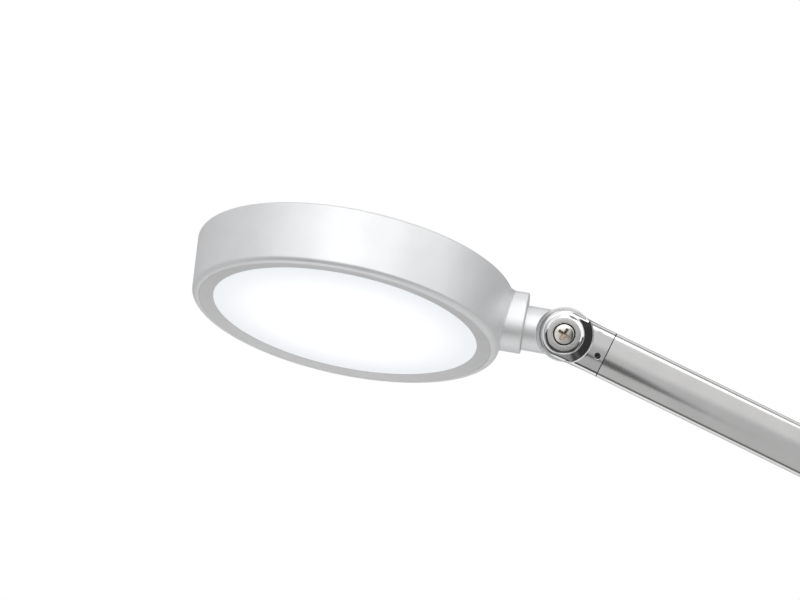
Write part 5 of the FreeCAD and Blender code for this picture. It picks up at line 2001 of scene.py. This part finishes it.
# ---- arms
@dataclass
class Arm:
    """One arm: its tube, the chrome at its two ends, its set screws and the fasteners of its hinges.

    Its frame stands in the near hinge, the one towards the head, with x towards the far hinge.
    """

    frame: Frame
    body: Body
    near_seam: float
    far_seam: float
    length: float = ARM_LENGTH
    section: ArmSection = ArmSection()
    edge_break: float = 0.14
    gap: float = 0.15

    @property
    def far_hinge(self) -> Frame:
        """Frame of the hinge at the far end, x back along the arm."""
        return self.frame.far_end(self.length)

    def tube(self) -> Piece:
        """The section carried from seam to seam, its ends broken by a small bevel.

        Returns:
            The tube.
        """
        bevel = self.edge_break
        start, end = self.near_seam + self.gap, self.length - self.far_seam - self.gap
        middle = np.linspace(start + 2, end - 2, 24)
        stations = np.concatenate([[start, start + bevel], middle, [end - bevel, end]])
        insets = np.zeros(len(stations))
        insets[[0, -1]] = bevel
        patch = carried_section(self.section.loop(), stations, insets)
        return Shell(f"{self.body.value}_profile", self.frame).add(patch).make()

    def build_tube(self, satin: Finish, screws: str, black: Finish) -> None:
        """Makes the tube and the two set screws and fits them in place of their CAD nodes.

        Args:
            satin: finish of the tube.
            screws: name of the set screws' piece.
            black: their finish.
        """
        name = self.body.value
        fit(self.tube(), self.body, satin, f"{name}_tube")
        pair = SetScrews(screws, self.frame, self.near_seam, self.far_seam)
        fit(pair.make(), self.body, black, f"{name}_set_screws")


@dataclass
class UpperArm(Arm):
    """Arm that carries the head: a short fork at the wrist, a tongue at the elbow."""

    body: Body = Body.UPPER_ARM
    near_seam: float = SHORT_SEAM
    far_seam: float = LONG_SEAM

    def build(self, finishes: Finishes) -> None:
        """Makes and dresses the upper arm's pieces.

        Args:
            finishes: the lamp's finishes.
        """
        self.build_tube(finishes.upper_satin, "upper_socket_screws", finishes.black_steel)
        Clevis("wrist_chrome_fork", self.frame).build(self.body, finishes.fork_chrome, "head_knuckle")
        fit(ElbowTongue(self.far_hinge).make(), self.body, finishes.chrome, "elbow_tongue")
        HingeSet("wrist", self.frame).build(self.body, finishes)


@dataclass
class LowerArm(Arm):
    """Arm on the base: a long fork at the elbow, a short one at the shoulder."""

    body: Body = Body.LOWER_ARM
    near_seam: float = LONG_SEAM
    far_seam: float = SHORT_SEAM
    elbow_slot: float = 27.0

    def build(self, finishes: Finishes) -> None:
        """Makes and dresses the lower arm's pieces.

        Args:
            finishes: the lamp's finishes.
        """
        self.build_tube(finishes.lower_satin, "lower_socket_screws", finishes.black_steel)
        elbow = Clevis("elbow_chrome_fork", self.frame, slot_radius=self.elbow_slot)
        elbow.build(self.body, finishes.long_fork_chrome, "elbow_fork")
        HingeSet("elbow", self.frame).build(self.body, finishes)
        shoulder = Clevis("shoulder_chrome_fork", self.far_hinge)
        shoulder.build(self.body, finishes.fork_chrome, "shoulder_knuckle")
        HingeSet("shoulder", self.far_hinge).build(self.body, finishes)


# ---- base
@dataclass
class Base:
    """Weighted round base: a turned cover over a rubber foot."""

    frame: Frame
    cover_radius: float = 108.0
    cover_wall: float = 2.0
    cover_lift: float = 1.0
    cover_edge_radius: float = 5.0
    top: float = 16.3
    foot_radius: float = 104.0
    foot_thickness: float = 2.0
    grooves: tuple[float, ...] = (96.0, 90.0, 84.0)
    groove_half: float = 1.0
    groove_floor: float = 0.6
    groove_depth: float = 0.5
    hole: float = 5.3

    def cover(self) -> Piece:
        """Cover: flat top and upright wall joined by an arc, with a hole for the stem's stub.

        Returns:
            The cover.
        """
        outer, inner = self.cover_radius, self.cover_radius - self.cover_wall
        ceiling = self.top - self.cover_wall
        corners = np.array([
            [self.hole, self.top], [outer, self.top], [outer, self.cover_lift],
            [inner, self.cover_lift], [inner, ceiling], [self.hole, ceiling],
        ])
        roundings = np.array([0.1, self.cover_edge_radius, 0.4, 0.3, 3.0, 0])
        patch = turned_profile(rounded_outline(corners, roundings, steps=14), FINEST)
        return Shell("weighted_base_cover", self.frame).add(patch).make()

    def foot(self) -> Piece:
        """Rubber disc with three concentric grip grooves and a rounded rim.

        Returns:
            The foot.
        """
        r, t = self.foot_radius, self.foot_thickness
        half, floor, depth = self.groove_half, self.groove_floor, self.groove_depth
        groove = np.array([[half, 0.0], [floor, depth], [-floor, depth], [-half, 0.0]])
        under = np.concatenate([groove + [reach, 0.0] for reach in self.grooves])
        corners = np.concatenate([[[0.0, t], [r, t], [r, 0.0]], under, [[0.0, 0.0]]])
        roundings = np.concatenate([[0, 0.3, 0.5], np.zeros(len(under) + 1)])
        profile = rounded_outline(corners, roundings, closed=False)
        patch = turned_profile(profile, FINE, closed=False)
        return Shell("rubber_foot_pad", self.frame).add(patch).make()

    def build(self, finishes: Finishes) -> None:
        """Makes the cover and the foot and fits them in place of their CAD nodes."""
        fit(self.cover(), Body.BASE, finishes.base_coat, "base_cover")
        fit(self.foot(), Body.BASE, finishes.rubber, "base_foot")


# ---- studio
@dataclass(frozen=True)
class Card:
    """A patch of the studio's surroundings, in degrees of bearing from the front and of height."""

    left: float
    right: float
    low: float
    high: float
    level: float
    blur: float = 4.0

    def over(self, bearing: Wire, height: Wire, below: Wire) -> Wire:
        """The level under it, changed to this card's level where the card is.

        Args:
            bearing: degrees from the front, positive to the right.
            height: degrees over the horizon.
            below: the level so far.

        Returns:
            The new level.
        """
        half = self.blur / 2
        mask = height.ramp(self.low - half, self.low + half)
        mask = mask * (1 - height.ramp(self.high - half, self.high + half))
        if self.right - self.left < 360:
            mask = mask * bearing.ramp(self.left - half, self.left + half)
            mask = mask * (1 - bearing.ramp(self.right - half, self.right + half))
        return below + mask * (self.level - below)


@dataclass
class Studio:
    """Camera, floor, soft lamp and the surroundings that the metal mirrors.

    Places and lengths are metres of the lamp's frame, lens and sensor are millimetres, angles are degrees.
    """

    camera_place: tuple[float, float, float] = (-0.11418796, -1.44110305, 0.53223577)
    azimuth: float = 5.18
    elevation: float = -2.0
    lens: float = 129.8
    sensor: float = 36.0
    floor_radius: float = 1.6
    floor_tones: tuple[float, float] = (0.80, 0.84)
    floor_fade: tuple[float, float] = (0.35, 0.95)
    mirrored_floor: tuple[float, float] = (0.32, 0.46)
    even_light: float = 0.9
    walls: float = 0.48
    rear_wall: float = 0.55
    rear_start: tuple[float, float] = (105.0, 135.0)
    lamp_size: tuple[float, float] = (1.6, 1.2)
    lamp_power: float = 9.0
    lamp_place: tuple[float, float, float] = (-0.9, -1.1, 1.9)
    lamp_aim: tuple[float, float, float] = (-0.05, 0.0, 0.3)
    cards: tuple[Card, ...] = (
        Card(-180, 180, -90, -52, 1.00),
        Card(-180, 180, 2, 12, 0.66),
        Card(-180, 180, 10.5, 95, 1.10),
        Card(-13, 80, 10.5, 95, 2.10, 8),
        Card(-180, -64, -40, 0, 0.45, 12),
        Card(-180, -64, 0, 60, 0.62, 12),
        Card(108, 180, -8, 50, 0.30, 10),
        Card(-180, -140, -8, 50, 0.30, 8),
        Card(-30, -10, -15, 12, 0.85),
        Card(-62, 38, -50, -20, 0.08, 6),
        Card(-22, 5, -20, -15, 0.30),
        Card(3.5, 38, -24, -14, 0.05),
        Card(-54, -36, -40, 12, 0.05),
        Card(22, 44, -14, 12, 1.20, 6),
        Card(8, 24, -40, 9, 0.04),
        Card(9.5, 24, 7, 15, 0.05),
        Card(42, 80, -6, 90, 1.20, 6),
        Card(42, 75, -40, -6, 0.10, 6),
        Card(-2, 9, 3.5, 12, 0.70, 2),
        Card(16, 50, 36, 58, 0.34),
        Card(50, 95, 56, 70, 0.40),
        Card(-180, 180, 74, 95, 0.70, 6),
        Card(-6.0, -1.7, -5.3, -1.2, 0.01, 1.2),
    )

    def camera(self) -> None:
        """Camera that looks along its azimuth and elevation; both are angles of the line to the camera."""
        a, e = math.radians(self.azimuth), math.radians(self.elevation)
        data = bpy.data.cameras.new("camera")
        data.lens, data.sensor_width, data.clip_end = self.lens, self.sensor, 100.0
        thing = bpy.data.objects.new("camera", data)
        thing.location = self.camera_place
        thing.rotation_euler = (math.pi / 2 - e, 0.0, a)
        bpy.context.scene.collection.objects.link(thing)
        bpy.context.scene.camera = thing

    def floor(self) -> None:
        """Pale floor disc, fading to the white of the backdrop towards its rim."""
        rings = np.linspace(0, self.floor_radius, 5) / MM
        grid = turned_profile(np.column_stack([rings, 0 * rings]), MEDIUM, closed=False)
        lamp = Frame(np.zeros(3), np.array([1.0, 0.0, 0.0]), np.array([0.0, 1.0, 0.0]))
        disc = Shell("floor", lamp).add(grid).make()
        made = bpy.data.materials.new("pale_floor")
        made.use_nodes = True
        made.node_tree.nodes.clear()
        bench = Bench(made.node_tree)
        out = bench.length(bench.place())
        fibre = bench.speckle(bench.place(), 140.0, 3.0)
        tone = bench.blend(fibre, *(grey(level) for level in self.floor_tones))
        card = bench.node("ShaderNodeBsdfPrincipled", None, {"Base Color": tone, "Roughness": 0.7})
        glow = bench.node("ShaderNodeEmission", None, {"Color": grey(1.0), "Strength": 1.0})
        fade = (out / self.floor_radius).ramp(*self.floor_fade)
        mixed = bench.node("ShaderNodeMixShader", None, {0: fade, 1: card, 2: glow})
        shiny = bench.node("ShaderNodeLightPath", out="Is Glossy Ray")
        far = out.ramp(*self.mirrored_floor) * shiny
        clear = bench.node("ShaderNodeBsdfTransparent")
        mixed = bench.node("ShaderNodeMixShader", None, {0: far, 1: mixed, 2: clear})
        bench.node("ShaderNodeOutputMaterial", None, {"Surface": mixed})
        disc.data.materials.append(made)

    def surroundings(self) -> None:
        """World: white to the camera, even light on matt surfaces, and a studio panorama in metal."""
        world = bpy.data.worlds.new("studio")
        bpy.context.scene.world = world
        world.use_nodes = True
        world.node_tree.nodes.clear()
        bench = Bench(world.node_tree)
        way = bench.node("ShaderNodeTexCoord", out="Generated")
        height = bench.axis(way, "Z").with_("ARCSINE") * (180 / math.pi)
        bearing = bench.axis(way, "X").with_("ARCTAN2", 0 - bench.axis(way, "Y")) * (180 / math.pi)
        panorama = abs(bearing).ramp(*self.rear_start) * (self.rear_wall - self.walls) + self.walls
        for card in self.cards:
            panorama = card.over(bearing, height, panorama)
        tone = bench.node("ShaderNodeCombineColor", None, {0: panorama, 1: panorama, 2: panorama * 1.01})
        shiny = bench.node("ShaderNodeLightPath", out="Is Glossy Ray")
        seen = bench.node("ShaderNodeLightPath", out="Is Camera Ray")
        clear = bench.node("ShaderNodeLightPath", out="Is Transmission Ray")
        chosen = bench.blend(shiny, grey(self.even_light), tone)
        chosen = bench.blend(seen.with_("MAXIMUM", clear), chosen, grey(1.0))
        shade = bench.node("ShaderNodeBackground", None, {"Color": chosen, "Strength": 1.0})
        bench.node("ShaderNodeOutputWorld", None, {"Surface": shade})

    def key_lamp(self) -> None:
        """Soft rectangular lamp above and in front, to the left."""
        data = bpy.data.lights.new("key", "AREA")
        data.shape, data.energy = "RECTANGLE", self.lamp_power
        data.size, data.size_y = self.lamp_size
        thing = bpy.data.objects.new("key", data)
        thing.location = self.lamp_place
        aim = np.array(self.lamp_aim) - np.array(self.lamp_place)
        pitch = math.atan2(math.hypot(aim[0], aim[1]), -aim[2])
        thing.rotation_euler = (pitch, 0.0, math.atan2(aim[1], aim[0]) - math.pi / 2)
        thing.visible_glossy = False
        bpy.context.scene.collection.objects.link(thing)

    def build(self) -> None:
        """Sets the picture's view, then the camera, floor and light."""
        bpy.context.scene.view_settings.view_transform = "Standard"
        self.camera()
        self.floor()
        self.surroundings()
        self.key_lamp()


# ---- lamp
def dress_nodes(frame: dict, finishes: Finishes) -> None:
    """Gives every CAD node that keeps its own mesh the finish of its material slot.

    Args:
        finishes: the lamp's finishes.
    """
    for part in frame["record"]["subparts"]:
        finishes.for_slot(Slot(part["material_slot"])).dress(frame["nodes"][part["node"]])
        LOG.info("%s wears %s", part["node"], part["material_slot"])


def main() -> None:
    """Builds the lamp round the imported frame, sub-assembly by sub-assembly."""
    logging.basicConfig(level=logging.INFO, format="%(name)s: %(message)s")
    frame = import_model()
    frames = LampFrames.from_joints(frame["joints"])
    finishes = Finishes()
    dress_nodes(frame, finishes)
    sub_assemblies = (
        Head(frames.drum), Neck(frames.neck), UpperArm(frames.upper_arm),
        LowerArm(frames.lower_arm), Stem(frames.stem), Base(frames.base),
    )
    for part in sub_assemblies:
        LOG.info("building the %s", type(part).__name__)
        part.build(finishes)
    Studio().build()


if __name__ == "__main__":
    main()
